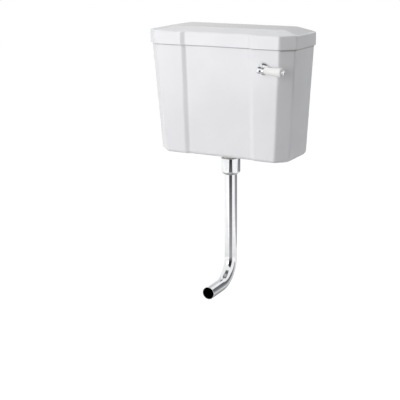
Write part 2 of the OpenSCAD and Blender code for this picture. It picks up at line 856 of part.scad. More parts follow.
// Drawn at the low stop: the arm hangs by its whole turn and the lug leans by half of it
module float_arm() {
    color("goldenrod") placed() at_pivot() difference() {
        union() {
            rod_y(0, -lug_t / 2, lug_t / 2, 0, arm_root_r);
            rotate([0, half_float, 0]) {
                translate([-lug_neck, -lug_t / 2, 0]) cube([2 * lug_neck, lug_t, pivot_drop]);
                rod_y(0, -lug_t / 2, lug_t / 2, pivot_drop, lug_r);
            }
            rotate([0, float_turn, 0]) {
                rod_x(0, arm_l, 0, 0, arm_r);
                translate([arm_l, 0, 0]) sphere(r = arm_r);
                rod_z(arm_l, 0, float_r - float_drop - float_socket, 0, arm_r);
            }
        }
        rod_y(0, -lug_t, lug_t, 0, pin_r + run_fit);
    }
}

module float_ball() {
    color("orangered") placed() at_pivot() rotate([0, float_turn, 0])
        translate([arm_l, 0, -float_drop]) difference() {
            sphere(r = float_r);
            sphere(r = float_r - float_t);
            cylinder(h = float_r + over, r = arm_r + seat_fit);
        }
}

tank();
lid();
lever_escutcheon();
escutcheon_washer();
lever_inner_washer();
lever_back_nut();
lever_spindle();
lever_hub();
grip_stud();
grip_collar();
lever_grip();
grip_end_cap();
crank_arm();
crank_screw();
lift_link();
siphon_housing();
siphon_seal();
siphon_washer();
siphon_back_nut();
lift_rod();
rod_nut();
piston_plate();
piston_flap();
union_nut();
cone_seal();
flush_pipe();
valve_body();
valve_seat();
valve_cap();
valve_nuts();
valve_washers();
valve_piston();
piston_washer();
arm_pin();
float_arm();
float_ball();
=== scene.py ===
"""Wall-hung toilet cistern: glazed china, chrome lever and flush pipe, and the works inside."""

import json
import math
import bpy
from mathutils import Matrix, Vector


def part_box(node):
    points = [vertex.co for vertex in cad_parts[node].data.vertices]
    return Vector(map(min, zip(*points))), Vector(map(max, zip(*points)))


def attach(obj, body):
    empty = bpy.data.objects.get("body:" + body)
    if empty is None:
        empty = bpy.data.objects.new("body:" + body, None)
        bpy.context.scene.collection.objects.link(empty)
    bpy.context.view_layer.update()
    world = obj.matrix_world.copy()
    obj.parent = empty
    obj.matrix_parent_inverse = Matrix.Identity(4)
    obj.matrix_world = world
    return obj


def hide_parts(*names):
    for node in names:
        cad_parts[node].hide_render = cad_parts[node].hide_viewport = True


bl_info = {
    "name": "Toilet cistern",
    "version": (1, 0, 0),
    "blender": (4, 5, 0),
    "location": "View3D > Sidebar > Cistern",
    "description": "Builds the china, the lever, the flush pipe and the works of a wall-hung cistern",
    "category": "Object",
}

import bmesh
import bpy
from bpy.props import FloatProperty, FloatVectorProperty, PointerProperty
from mathutils import Matrix, Vector

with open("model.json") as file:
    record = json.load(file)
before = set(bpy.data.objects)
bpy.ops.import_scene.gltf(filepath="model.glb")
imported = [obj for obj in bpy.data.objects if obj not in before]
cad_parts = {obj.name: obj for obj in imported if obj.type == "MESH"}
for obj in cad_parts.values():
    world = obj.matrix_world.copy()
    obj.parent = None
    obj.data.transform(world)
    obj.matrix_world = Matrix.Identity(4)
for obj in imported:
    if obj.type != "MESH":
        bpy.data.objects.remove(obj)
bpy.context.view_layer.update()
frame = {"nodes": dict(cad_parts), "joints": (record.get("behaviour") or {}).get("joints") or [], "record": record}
BODY_OF = {node: body for body, nodes in frame["record"]["behaviour"]["bodies"].items() for node in nodes}
SLOT_OF = {part["node"]: part["material_slot"] for part in frame["record"]["subparts"]}

# Points on an eased edge, and the distance of the line that keeps the flat beside it flat
EASE_STEPS = 8
HOLD = 0.0008
# Radius under which a point of a profile is on its axis
ON_AXIS = 1e-7
# A corner cut loses this much of its leg for each unit that its outline moves inwards
CUT_LOSS = 2 - math.sqrt(2)
# Places in a plan of the corners of its sunk panel
PANEL_CORNERS = range(3, 7)
# Height of the slot under the edge of the lid, and of the band of painted shade below it on the tank's flanks
LID_GAP = 0.0019
PAINTED_SHADE_BAND = 0.0022
# Point that the sides and the cut corners are about equally far from
FLANK_MIDDLE = (0, -0.0425, 0)
# Width over which the edge of a painted band fades
BAND_FADE = 0.0003
# Where bare clay begins and where it is full, from the wall; and where the band of painted shade on the flanks
# begins and where it is full, from the rim's half width
WALL_FADE = (-0.0009, -0.0004)
FLANK_FADE = (-0.007, -0.003)

# Holes of the tank: the outlet, the wall fixings and their distance from the middle, the lever and the inlet
OUTLET_RADIUS = 0.0254
FIXING_RADIUS = 0.004
FIXING_OUT = 0.160
LEVER_HOLE = 0.010
INLET_HOLE = 0.01185
# How much wider a seat in the wall is than what sits in it, and how far its cutter reaches
SEAT_CLEAR = 0.0008
SEAT_REACH = 0.02
# Thickness of the inlet's washers, and size across the flats and height of its nuts
WASHER = 0.002
INLET_NUT = 0.0299
INLET_NUT_HEIGHT = 0.007

# Radius of the lever's bush over its thread, of the spindle's bore in it, and of the bore for the grip's stud
BUSH_RADIUS = 0.009
SPINDLE_BORE = 0.00508
STUD_BORE = 0.00305
# How far the hub's boss stands out of its ball
BOSS_STEP = 0.0015
# The knob: its width as a share of the grip's end, its straight base and the rise of its dome
KNOB_SHARE = 0.63
KNOB_BASE = 0.002
KNOB_RISE = 0.0055
# The union nut: powers that round the edges between its flats and that cut them into the round,
# and the distance of a flat from the axis before the rounding, as a share of the size across flats
FLAT_ROUND = 7
FLAT_CUT = 80
FLAT_SHARE = 0.533

# Angle between two faces, in degrees, past which their edge shows
CHINA_EDGE = 38
TURNED_EDGE = 34
ROUND_EDGE = 40
NUT_EDGE = 26
COPY_EDGE = 32
# A copy of a CAD node: distance that merges points, angle that counts as flat, and angle of an edge to round
MERGE = 0.000005
FLAT = math.radians(0.6)
SHARP = math.radians(40)

# The glaze: shade of its clouds and depth of its waves
CLOUD_SHADE = 0.965
WAVE_DEPTH = 0.00016
# The bare clay: its roughness, scale of its grain, and its shades in the grain; its shade in the slot, bare clay
# darkened by painted shade; and the near-black painted shade of the band below the lid on the flanks
CLAY_ROUGH = 0.85
CLAY_SCALE = 130.0
CLAY_SHADES = (0.9, 1.08)
SLOT_CLAY_AND_SHADE = 0.5
PAINTED_SHADE_TONE = 0.12
# Shades of smudged metal and of worn plastic
SMUDGE_SHADE = 0.93
WORN_SHADE = 0.88
# Roughness when clean and when smudged, depth of the fine lines, and their scale along z
METALS = {"chrome": (0.035, 0.075, 0.0000015, 0.04), "brass": (0.22, 0.40, 0.000012, 1.0),
          "steel": (0.26, 0.38, 0.000010, 0.04)}
# Roughness when new and when worn, and depth of the grain
MOULDINGS = {"rubber": (0.62, 0.80, 0.00005), "float_plastic": (0.16, 0.30, 0.00001),
             "white_plastic": (0.38, 0.52, 0.00002), "flap_film": (0.38, 0.52, 0.00002)}

WHITE = (1, 1, 1, 1)
# Middle of the cistern from front to back, and the height that the lamps face
CENTRE_Y = -0.08
LAMP_AIM = -0.1
# The camera: its place, its turn to the left and its dip in degrees, its lens and film in mm, and its shift
CAMERA_PLACE = (1.2222, -2.4556, 0.3116)
CAMERA_TURN = 26.87
CAMERA_DIP = 15.65
CAMERA_LENS = 83.36
CAMERA_FILM = 36.0
CAMERA_SHIFT = -0.0903


def span(node, axis):
    """Size of a CAD node along one axis."""
    low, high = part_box(node)
    return high[axis] - low[axis]


def middle(node):
    """Middle of a CAD node's box."""
    low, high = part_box(node)
    return (low + high) / 2


def frame_range(joint):
    """Largest value of a hinge, in radians."""
    for made in frame["joints"]:
        if made["name"] == joint:
            return math.radians(made["range_deg"][1])
    raise RuntimeError("the frame has no joint named " + joint)


def length(name, default, description):
    return FloatProperty(name=name, description=description, default=default, min=0.0, precision=4,
                         subtype="DISTANCE", unit="LENGTH")


def angle(name, default, description):
    return FloatProperty(name=name, description=description, default=math.radians(default), subtype="ANGLE",
                         unit="ROTATION")


def power(name, default, description):
    return FloatProperty(name=name, description=description, default=default, min=0.0, unit="POWER")


def colour(name, default, description):
    return FloatVectorProperty(name=name, description=description, default=default, size=3, min=0.0, max=1.0,
                               subtype="COLOR")


# Settings


class ChinaSizes(bpy.types.PropertyGroup):
    """Sizes of the tank and its lid"""

    rim_width: length("Rim width", span("tank", 0), "Width of the tank across its rim")
    rim_depth: length("Rim depth", span("tank", 1), "Depth of the tank from the wall to its front at the rim")
    height: length("Height", span("tank", 2), "Height of the tank from its underside to its rim")
    base_width: length("Base width", 0.416, "Width of the tank across its underside")
    base_depth: length("Base depth", 0.154, "Depth of the tank at its underside")
    corner_cut: length("Corner cut", 0.033, "Leg of the cut at each front corner")
    wall: length("Wall", 0.010, "Thickness of the walls")
    floor: length("Floor", 0.012, "Thickness of the floor")
    base_round: length("Base rounding", 0.012, "Radius of the rounded lower edge")
    floor_round: length("Floor rounding", 0.010, "Radius of the rounding inside, round the floor")
    rim_round: length("Rim rounding", 0.0016, "Radius of the glaze over the rim")
    edge_ease: length("Edge easing", 0.005, "How far an upright edge is eased back along each face")
    panel_ease: length("Panel easing", 0.0035, "How far an edge of the sunk panel is eased")
    panel_width: length("Panel width", 0.222, "Width of the sunk centre panel")
    panel_slope: length("Panel slope", 0.012, "Run of each sloped side of the panel")
    panel_dip: length("Panel depth", 0.006, "Depth of the sunk centre panel")
    lid_edge: length("Lid edge", 0.039, "Height of the upright edge of the lid")
    crown_rise: length("Crown rise", 0.012, "Rise of the lid's crown above its edge")
    crown_run: length("Crown run", 0.058, "Run of the crown from the edge to the flat top")
    crown_ease: length("Crown easing", 0.009, "Run before and after the crown's corner that eases it")
    shoulder: length("Shoulder", 0.0035, "Easing of the lid's upper edge")
    lid_wall: length("Lid wall", 0.011, "Thickness of the lid")
    lid_lip: length("Lid lip", 0.008, "Depth of the lid's lip inside the rim")
    lip_gap: length("Lip gap", 0.0025, "Clearance of the lip inside the rim")
    lip_wall: length("Lip wall", 0.007, "Thickness of the lip")


class LeverSizes(bpy.types.PropertyGroup):
    """Sizes of the lever"""

    escutcheon: length("Escutcheon", span("lever_escutcheon", 0), "Diameter of the domed plate")
    dome_rise: length("Dome rise", 0.007, "Rise of the dome above its plate")
    plate: length("Plate", 0.003, "Thickness of the plate")
    ball: length("Ball", 0.022, "Diameter of the ball of the hub")
    grip: length("Grip", 0.051, "Length of the grip")
    grip_root: length("Grip root", 0.0176, "Diameter of the grip at the hub")
    grip_end: length("Grip end", 0.0256, "Diameter of the grip at its end")
    collar: length("Collar", 0.003, "Thickness of the ring between hub and grip")
    droop: angle("Droop", 3, "Droop of the grip below level")


class PipeSizes(bpy.types.PropertyGroup):
    """Sizes of the flush pipe and of the threads"""

    diameter: length("Pipe diameter", span("flush_pipe", 0), "Outside diameter of the flush pipe")
    wall: length("Pipe wall", 0.0012, "Wall of the flush pipe")
    bend: length("Bend radius", 0.075, "Radius of the bend at the middle of the pipe")
    nut: length("Union nut", 0.054, "Size of the union nut across its flats")
    nut_turn: angle("Nut turn", 29, "Turn of the union nut's flats from the right-hand side")
    pitch: length("Thread pitch", 0.0018, "Distance between the turns of a thread")
    thread: length("Thread depth", 0.0008, "Height of a thread over its core")


class FinishColours(bpy.types.PropertyGroup):
    """Colours of the finishes"""

    china: colour("China", (0.855, 0.855, 0.88), "Glaze of the tank and lid")
    grip_china: colour("Grip", (0.93, 0.93, 0.925), "Glaze of the lever's grip")
    bisque: colour("Bisque", (0.72, 0.68, 0.62), "Unglazed clay at the back")
    chrome: colour("Chrome", (0.86, 0.865, 0.88), "Polished plating")
    brass: colour("Brass", (0.62, 0.44, 0.20), "Turned brass")
    steel: colour("Steel", (0.56, 0.57, 0.59), "Drawn steel")
    white_plastic: colour("Plastic", (0.78, 0.77, 0.72), "Moulded plastic of the siphon")
    flap_film: colour("Flap", (0.62, 0.66, 0.70), "Thin sheet of the piston's flap")
    rubber: colour("Rubber", (0.020, 0.020, 0.021), "Washers and seals")
    float_plastic: colour("Float", (0.62, 0.10, 0.02), "Moulded float")


class StageSettings(bpy.types.PropertyGroup):
    """Light and floor"""

    front: power("Front lamp", 23.5, "Power of the large lamp in front")
    key: power("Key lamp", 31.0, "Power of the large lamp at the front left")
    side: power("Side lamp", 28.2, "Power of the lamp behind, on the right")
    top: power("Top lamp", 18.6, "Power of the lamp overhead")
    ambient: FloatProperty(name="Ambient", description="Strength of the light from all round",
                           default=0.02, min=0.0)
    drop: length("Floor drop", 1.02, "Distance of the floor below the wall fixings")


GROUPS = {"cistern_china": ChinaSizes, "cistern_lever": LeverSizes, "cistern_pipe": PipeSizes,
          "cistern_colours": FinishColours, "cistern_stage": StageSettings}


# Shader nodes


def add(tree, kind, inputs=None, **settings):
    """Adds a node. An input is a value, or a socket to link from."""
    node = tree.nodes.new(kind)
    for key, value in settings.items():
        setattr(node, key, value)
    for key, value in (inputs or {}).items():
        if isinstance(value, bpy.types.NodeSocket):
            tree.links.new(value, node.inputs[key])
        else:
            node.inputs[key].default_value = value
    return node


def new_group(name, kind, inputs, outputs):
    """An empty node group with named inputs and outputs, and its start and end sockets."""
    tree = bpy.data.node_groups.new(name, kind)
    for label, (sort, default) in inputs.items():
        socket = tree.interface.new_socket(label, in_out="INPUT", socket_type="NodeSocket" + sort)
        if default is not None:
            socket.default_value = default
    for label, sort in outputs.items():
        tree.interface.new_socket(label, in_out="OUTPUT", socket_type="NodeSocket" + sort)
    start = tree.nodes.new("NodeGroupInput")
    end = tree.nodes.new("NodeGroupOutput")
    return tree, start.outputs, end.inputs


def shared(name, maker):
    """A node group, built the first time it is asked for."""
    return bpy.data.node_groups.get(name) or maker()


def effect(name, inputs, outputs):
    """An empty shader group whose inputs and outputs are numbers."""
    return new_group(name, "ShaderNodeTree", {label: ("Float", value) for label, value in inputs.items()},
                     {label: "Float" for label in outputs})


def object_place(tree):
    """Object coordinates, which stay with a piece as it moves."""
    return add(tree, "ShaderNodeTexCoord").outputs["Object"]


def noise(tree, place, scale, detail=2.0):
    return add(tree, "ShaderNodeTexNoise", {"Vector": place, "Scale": scale, "Detail": detail}).outputs["Fac"]


def spread(tree, value, low, high, to_low, to_high):
    """Maps a value from one span to another, held at its ends."""
    spans = {"From Min": low, "From Max": high, "To Min": to_low, "To Max": to_high}
    return add(tree, "ShaderNodeMapRange", {"Value": value, **spans}).outputs["Result"]


def cloudy(tree, place, scale, detail, low=0.3, high=0.7):
    """Noise that rises from 0 to 1 between two of its levels."""
    return spread(tree, noise(tree, place, scale, detail), low, high, 0.0, 1.0)


def blend_values(tree, a, b, kind="ADD"):
    return add(tree, "ShaderNodeMath", {0: a, 1: b}, operation=kind).outputs[0]


def times(tree, a, b):
    return blend_values(tree, a, b, "MULTIPLY")


def largest(tree, value, *others):
    for other in others:
        value = blend_values(tree, value, other, "MAXIMUM")
    return value


def vectors(tree, kind, *inputs):
    """A difference, a product or a measure of vectors."""
    node = add(tree, "ShaderNodeVectorMath", dict(enumerate(inputs)), operation=kind)
    return node.outputs["Value" if kind in ("DOT_PRODUCT", "LENGTH") else "Vector"]


def near(tree, value, centre, reach):
    """1 where a value is within a reach of a centre."""
    off = blend_values(tree, blend_values(tree, value, centre, "SUBTRACT"), 0.0, "ABSOLUTE")
    return spread(tree, off, reach - BAND_FADE, reach, 1.0, 0.0)


def glaze_effect():
    """Slow waves and fine orange peel of a fired glaze, with faint cloudiness and pin marks."""
    tree, start, end = effect(
        "Glaze", {"Wave scale": 26.0, "Peel scale": 190.0, "Peel height": 0.12, "Pin scale": 210.0,
                  "Pin depth": 0.15, "Cloud scale": 9.0, "Patch scale": 40.0},
        ("Height", "Cloud", "Roughness"))
    place = object_place(tree)
    wave = noise(tree, place, start["Wave scale"], 1.0)
    peel = times(tree, noise(tree, place, start["Peel scale"], 1.0), start["Peel height"])
    pins = add(tree, "ShaderNodeTexVoronoi", {"Vector": place, "Scale": start["Pin scale"]})
    pin = spread(tree, pins.outputs["Distance"], 0.02, 0.07, 1.0, 0.0)
    relief = blend_values(tree, wave, peel)
    pitted = blend_values(tree, relief, times(tree, pin, start["Pin depth"]), "SUBTRACT")
    cloud = cloudy(tree, place, start["Cloud scale"], 3.0)
    patches = spread(tree, noise(tree, place, start["Patch scale"], 4.0), 0.3, 0.7, 0.05, 0.11)
    tree.links.new(pitted, end["Height"])
    tree.links.new(largest(tree, cloud, pin), end["Cloud"])
    tree.links.new(patches, end["Roughness"])
    return tree


def handled_effect():
    """Smudges from hands and fine polishing lines on bare or plated metal."""
    tree, start, end = effect(
        "Handled metal", {"Smudge scale": 55.0, "Line scale": 900.0, "Lines along": 0.04}, ("Smudge", "Line"))
    place = object_place(tree)
    stretch = add(tree, "ShaderNodeCombineXYZ", {"X": 1.0, "Y": 1.0, "Z": start["Lines along"]}).outputs[0]
    drawn = vectors(tree, "MULTIPLY", place, stretch)
    tree.links.new(cloudy(tree, place, start["Smudge scale"], 5.0, 0.42, 0.72), end["Smudge"])
    tree.links.new(noise(tree, drawn, start["Line scale"]), end["Line"])
    return tree


def mould_effect():
    """Fine grain and slow unevenness of a moulded surface."""
    tree, start, end = effect("Moulded", {"Grain scale": 1400.0, "Cloud scale": 22.0}, ("Grain", "Cloud"))
    place = object_place(tree)
    tree.links.new(noise(tree, place, start["Grain scale"]), end["Grain"])
    tree.links.new(cloudy(tree, place, start["Cloud scale"], 4.0), end["Cloud"])
    return tree


def blank_material(name):
    """A material with an empty tree, the tree and its surface socket."""
    material = bpy.data.materials.new(name)
    material.use_nodes = True
    tree = material.node_tree
    tree.nodes.clear()
    return material, tree, tree.nodes.new("ShaderNodeOutputMaterial").inputs["Surface"]


def new_material(name, **sockets):
    """A material with one Principled shader, and its tree and shader."""
    material, tree, surface = blank_material(name)
    shader = tree.nodes.new("ShaderNodeBsdfPrincipled")
    tree.links.new(shader.outputs["BSDF"], surface)
    for key, value in sockets.items():
        shader.inputs[key].default_value = value
    return material, tree, shader


def shade(tint, factor):
    """A colour made darker, or lighter, by a factor, with its alpha."""
    return (*(min(1.0, c * factor) for c in tint), 1.0)


def bumped(tree, shader, height, distance):
    """Feeds a height to the shader's normal, at its real depth."""
    bump = add(tree, "ShaderNodeBump", {"Strength": 1.0, "Distance": distance, "Height": height})
    tree.links.new(bump.outputs["Normal"], shader.inputs["Normal"])


def mixed(tree, factor, a, b):
    return add(tree, "ShaderNodeMix", {0: factor, 6: a, 7: b}, data_type="RGBA").outputs[2]


def worn_look(tree, shader, mask, tint, darkest, rough, worn):
    """Colour and roughness that change where a mask rises to 1."""
    tree.links.new(mixed(tree, mask, shade(tint, 1.0), shade(tint, darkest)), shader.inputs["Base Color"])
    tree.links.new(spread(tree, mask, 0.0, 1.0, rough, worn), shader.inputs["Roughness"])


def clay_and_shade_masks(tree, place):
    """Masks of the bare face on the wall, of the slot under the lid's edge, where bare clay is darkened by painted
    shade, and of a band of painted shade below it on the flanks.
    """
    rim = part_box("tank")[1]
    sides = add(tree, "ShaderNodeSeparateXYZ", {"Vector": place}).outputs
    wall = spread(tree, sides["Y"], *WALL_FADE, 0.0, 1.0)
    # The slot mask marks the recess under the lid's edge, painted as bare clay darkened to half: partly bare clay,
    # partly painted shade
    slot = near(tree, sides["Z"], rim.z + LID_GAP / 2, LID_GAP / 2)
    level = vectors(tree, "MULTIPLY", add(tree, "ShaderNodeNewGeometry").outputs["Normal"], (1, 1, 0))
    reach = vectors(tree, "DOT_PRODUCT", level, vectors(tree, "SUBTRACT", place, FLANK_MIDDLE))
    flank = spread(tree, reach, *(rim.x + off for off in FLANK_FADE), 0.0, 1.0)
    # The joint mask marks painted shade: a band just below the rim, on the flanks only, that stands in for the
    # shadow of the gap under the lid
    joint = times(tree, near(tree, sides["Z"], rim.z - PAINTED_SHADE_BAND / 2, PAINTED_SHADE_BAND / 2), flank)
    return wall, slot, joint


def china_material(name, tint, bare=None):
    """Glaze over white clay. A bare colour shows at the wall, and is darkened as painted shade in the slot under
    the lid and in a band below it on the flanks.
    """
    material, tree, shader = new_material(name, IOR=1.5)
    glaze = add(tree, "ShaderNodeGroup", node_tree=shared("Glaze", glaze_effect)).outputs
    body = mixed(tree, glaze["Cloud"], shade(tint, 1.0), shade(tint, CLOUD_SHADE))
    rough = glaze["Roughness"]
    if bare:
        place = object_place(tree)
        wall, slot, joint = clay_and_shade_masks(tree, place)
        grain = noise(tree, place, CLAY_SCALE, 4.0)
        clay = mixed(tree, grain, *(shade(bare, factor) for factor in CLAY_SHADES))
        # The slot gets bare clay darkened to half as painted shade, and the joint band gets bare clay darkened to
        # near black as painted shade
        for mask, paint in ((wall, clay), (slot, shade(bare, SLOT_CLAY_AND_SHADE)), (joint, shade(bare, PAINTED_SHADE_TONE))):
            body = mixed(tree, mask, body, paint)
        dull = largest(tree, wall, slot, joint)
        rough = add(tree, "ShaderNodeMix", {0: dull, 2: rough, 3: CLAY_ROUGH}).outputs[0]
    tree.links.new(body, shader.inputs["Base Color"])
    tree.links.new(rough, shader.inputs["Roughness"])
    bumped(tree, shader, glaze["Height"], WAVE_DEPTH)
    return material


def metal_material(name, tint, rough, worn, lines, along):
    """Plated, turned or drawn metal: roughness from rough to worn where it is smudged, and fine lines."""
    material, tree, shader = new_material(name, Metallic=1.0)
    handled = add(tree, "ShaderNodeGroup", {"Lines along": along},
                  node_tree=shared("Handled metal", handled_effect)).outputs
    worn_look(tree, shader, handled["Smudge"], tint, SMUDGE_SHADE, rough, worn)
    bumped(tree, shader, handled["Line"], lines)
    return material


def moulded_material(name, tint, rough, worn, depth):
    """Plastic or rubber from a mould."""
    material, tree, shader = new_material(name)
    mould = add(tree, "ShaderNodeGroup", node_tree=shared("Moulded", mould_effect)).outputs
    worn_look(tree, shader, mould["Cloud"], tint, WORN_SHADE, rough, worn)
    bumped(tree, shader, mould["Grain"], depth)
    return material


def finish(slot):
    """The material of a record slot, made the first time it is asked for."""
    name = "Finish " + slot
    made = bpy.data.materials.get(name)
    if made:
        return made
    tints = bpy.context.scene.cistern_colours
    tint = tuple(getattr(tints, slot))
    if slot == "china":
        return china_material(name, tint, tuple(tints.bisque))
    if slot == "grip_china":
        return china_material(name, tint)
    if slot in METALS:
        return metal_material(name, tint, *METALS[slot])
    return moulded_material(name, tint, *MOULDINGS[slot])


# Meshes


def new_object(name, mesh):
    obj = bpy.data.objects.new(name, mesh)
    bpy.context.scene.collection.objects.link(obj)
    return obj


def bake(obj):
    """Turns what an object's modifiers make into its own plain mesh."""
    mesh = bpy.data.meshes.new_from_object(obj.evaluated_get(bpy.context.evaluated_depsgraph_get()))
    obj.modifiers.clear()
    obj.data = mesh
    return obj


def from_bmesh(name, bm):
    """Closes a bmesh into an object with its faces turned outwards."""
    bmesh.ops.recalc_face_normals(bm, faces=bm.faces)
    mesh = bpy.data.meshes.new(name)
    bm.to_mesh(mesh)
    bm.free()
    return new_object(name, mesh)


def smooth(obj, degrees):
    """Smooth shading with sharp edges where faces meet at more than an angle."""
    bm = bmesh.new()
    bm.from_mesh(obj.data)
    limit = math.radians(degrees)
    for face in bm.faces:
        face.smooth = True
    for edge in bm.edges:
        edge.smooth = len(edge.link_faces) == 2 and edge.calc_face_angle(0.0) < limit
    bm.to_mesh(obj.data)
    bm.free()
    return obj


def settle(obj, node):
    """Puts a finished piece in place of its CAD node, on its body and with its finish."""
    slot = SLOT_OF[node]
    obj.data.materials.clear()
    obj.data.materials.append(finish(slot))
    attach(obj, BODY_OF[node])
    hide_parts(node)


def lerp(a, b, t):
    return a + (b - a) * t


def evenly(first, last, steps):
    """Values from first to last in even steps."""
    return [lerp(first, last, i / steps) for i in range(steps + 1)]


def eased_ring(corners, sizes, z):
    """A plan with every corner eased, at height z, with a line beside each easing to keep the flats flat."""
    points = []
    for k, corner in enumerate(corners):
        ease = sizes.panel_ease if k in PANEL_CORNERS else sizes.edge_ease
        back = (corners[k - 1] - corner).normalized()
        ahead = (corners[(k + 1) % len(corners)] - corner).normalized()
        points.append(corner + back * (ease + HOLD))
        for t in evenly(0, 1, EASE_STEPS):
            points.append(corner + back * ease * (1 - t) ** 2 + ahead * ease * t ** 2)
        points.append(corner + ahead * (ease + HOLD))
    return [Vector((p.x, p.y, z)) for p in points]


def plan(sizes, half, back, depth, cut, dip):
    """Plan of the china: cut front corners, and a front sunk by dip at its panel."""
    outer = sizes.panel_width / 2
    inner = outer - sizes.panel_slope
    return [Vector(p) for p in (
        (-half, -back), (-half, cut - depth), (cut - half, -depth), (-outer, -depth), (-inner, dip - depth),
        (inner, dip - depth), (outer, -depth), (half - cut, -depth), (half, cut - depth), (half, -back))]


def loft(name, rings):
    """A closed skin through rings with equal counts."""
    bm = bmesh.new()
    rows = [[bm.verts.new(p) for p in ring] for ring in rings]
    count = len(rows[0])
    for low, high in zip(rows, rows[1:]):
        for k in range(count):
            n = (k + 1) % count
            bm.faces.new((low[k], low[n], high[n], high[k]))
    bm.faces.new(rows[0])
    bm.faces.new(rows[-1])
    return from_bmesh(name, bm)


def turned(angle_from, angle_to, steps):
    """Angles of a rounding, given in degrees, in radians."""
    return [math.radians(degrees) for degrees in evenly(angle_from, angle_to, steps)]


def tank_rings(sizes):
    """Rings from the underside up the outside, over the rim and down the inside to the floor."""
    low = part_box("tank")[0].z

    def outline(z, inset, inside):
        share = z / sizes.height
        half = lerp(sizes.base_width, sizes.rim_width, share) / 2
        depth = lerp(sizes.base_depth, sizes.rim_depth, share)
        in_by = inset + sizes.wall * inside
        front = in_by + sizes.panel_dip * inside
        corners = plan(sizes, half - in_by, in_by, depth - front, sizes.corner_cut - CUT_LOSS * in_by,
                       sizes.panel_dip * (1 - inside))
        return eased_ring(corners, sizes, low + z)

    top = sizes.height
    r = sizes.base_round
    rings = [outline(r * (1 - math.cos(a)), r * (1 - math.sin(a)), 0) for a in turned(0, 90, 12)]
    rings.append(outline(r + 2 * HOLD, 0, 0))
    r = sizes.rim_round
    rings.append(outline(top - r - 2 * HOLD, 0, 0))
    rings += [outline(top - r + r * math.sin(a), r * (1 - math.cos(a)), 0) for a in turned(0, 90, 5)]
    rings += [outline(top - r + r * math.sin(a), -r * (1 - math.cos(a)), 1) for a in turned(90, 0, 5)]
    rings.append(outline(top - r - 2 * HOLD, 0, 1))
    r = sizes.floor_round
    rings.append(outline(sizes.floor + r + 2 * HOLD, 0, 1))
    rings += [outline(sizes.floor + r * (1 - math.cos(a)), r * (1 - math.sin(a)), 1)
              for a in turned(90, 0, 8)]
    return rings


def lid_rings(sizes):
    """Rings from the lid's ceiling down its hollow, round its lip and foot, and up over its crown."""
    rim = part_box("tank")[1].z
    half = span("lid", 0) / 2
    depth = span("lid", 1)
    cut = sizes.corner_cut + CUT_LOSS * (half - sizes.rim_width / 2)
    edge = rim + sizes.lid_edge
    top = edge + sizes.crown_rise
    run, ease, shoulder = sizes.crown_run, sizes.crown_ease, sizes.shoulder
    slope = sizes.crown_rise / run
    # Inset at which the sunk panel has run out into the crown
    past_panel = sizes.panel_dip + shoulder + 0.002
    # Rounding of the foot and of the back edge, and depth of the slot
    foot_round, back_round, slot_depth = 0.0006, 0.0018, 0.004
    # Share of the corner cut left at the flat top, and of the crown and the wall where the hollow turns
    crown_cut, hollow_turn = 0.35, 0.75
    lip_foot = rim - sizes.lid_lip

    def crown(inset):
        if inset < run - ease:
            return edge + slope * inset
        return top - slope * (run + ease - inset) ** 2 / (4 * ease)

    def outside(inset, z):
        corners = plan(sizes, half - inset, inset, depth - inset, cut, sizes.panel_dip)
        return eased_ring(corners, sizes, z)

    def roof(inset, z):
        rise = max(0.0, z - top + back_round)
        back = back_round - math.sqrt(max(0.0, back_round ** 2 - rise ** 2))
        narrowed = cut * lerp(1, crown_cut, inset / (run + ease))
        dip = sizes.panel_dip if inset < past_panel else 0
        ring = eased_ring(plan(sizes, half - inset, back, depth - inset, narrowed, dip), sizes, z)
        for point in ring:
            if abs(point.x) < sizes.panel_width / 2 + sizes.edge_ease:
                point.z += slope * (point.y + depth - inset)
        return ring

    def hollow(inset, z, t):
        wall = sizes.lid_wall
        corners = plan(sizes, half - wall - inset, wall, depth - sizes.panel_dip - wall - inset,
                       cut * lerp(1, crown_cut, t), 0)
        return eased_ring(corners, sizes, z)

    def lip(inset, z):
        off = sizes.wall + sizes.lip_gap + inset
        corners = plan(sizes, sizes.rim_width / 2 - off, off, sizes.rim_depth - sizes.panel_dip - off,
                       sizes.corner_cut - CUT_LOSS * off, 0)
        return eased_ring(corners, sizes, z)

    rings = [
        hollow(hollow_turn * run, top - sizes.lid_wall, 1), hollow(0, edge - hollow_turn * sizes.lid_wall, 0),
        hollow(0, rim + sizes.lip_wall + sizes.lip_gap, 0), lip(sizes.lip_wall, rim),
        lip(sizes.lip_wall, lip_foot), lip(0, lip_foot), lip(0, rim), outside(slot_depth, rim),
        outside(slot_depth, rim + LID_GAP)]
    rings += [outside(foot_round * (1 - math.sin(a)), rim + LID_GAP + foot_round * (1 - math.cos(a)))
              for a in turned(0, 90, 4)]
    rings.append(outside(0, rim + LID_GAP + foot_round + 2 * HOLD))
    start, corner, end = Vector((0, edge - shoulder)), Vector((0, edge)), Vector((shoulder, crown(shoulder)))
    rings.append(roof(0, start.y - 2 * HOLD))
    for t in evenly(0, 1, 10):
        p = start * (1 - t) ** 2 + corner * 2 * t * (1 - t) + end * t ** 2
        rings.append(roof(p.x, p.y))
    for inset in (shoulder + 2 * HOLD, past_panel, run - ease - 2 * HOLD):
        rings.append(roof(inset, crown(inset)))
    rings += [roof(inset, crown(inset)) for inset in evenly(run - ease, run + ease, 12)]
    return rings


def hexed(radius, around, flats):
    """A radius cut back by six flats, with softly rounded edges between them. No flats leave it as it is."""
    if not flats:
        return radius
    facing = sum(max(0.0, math.cos(around - math.tau * k / 6)) ** FLAT_ROUND for k in range(6))
    flat = FLAT_SHARE * flats * facing ** (-1 / FLAT_ROUND)
    return (radius ** -FLAT_CUT + flat ** -FLAT_CUT) ** (-1 / FLAT_CUT)


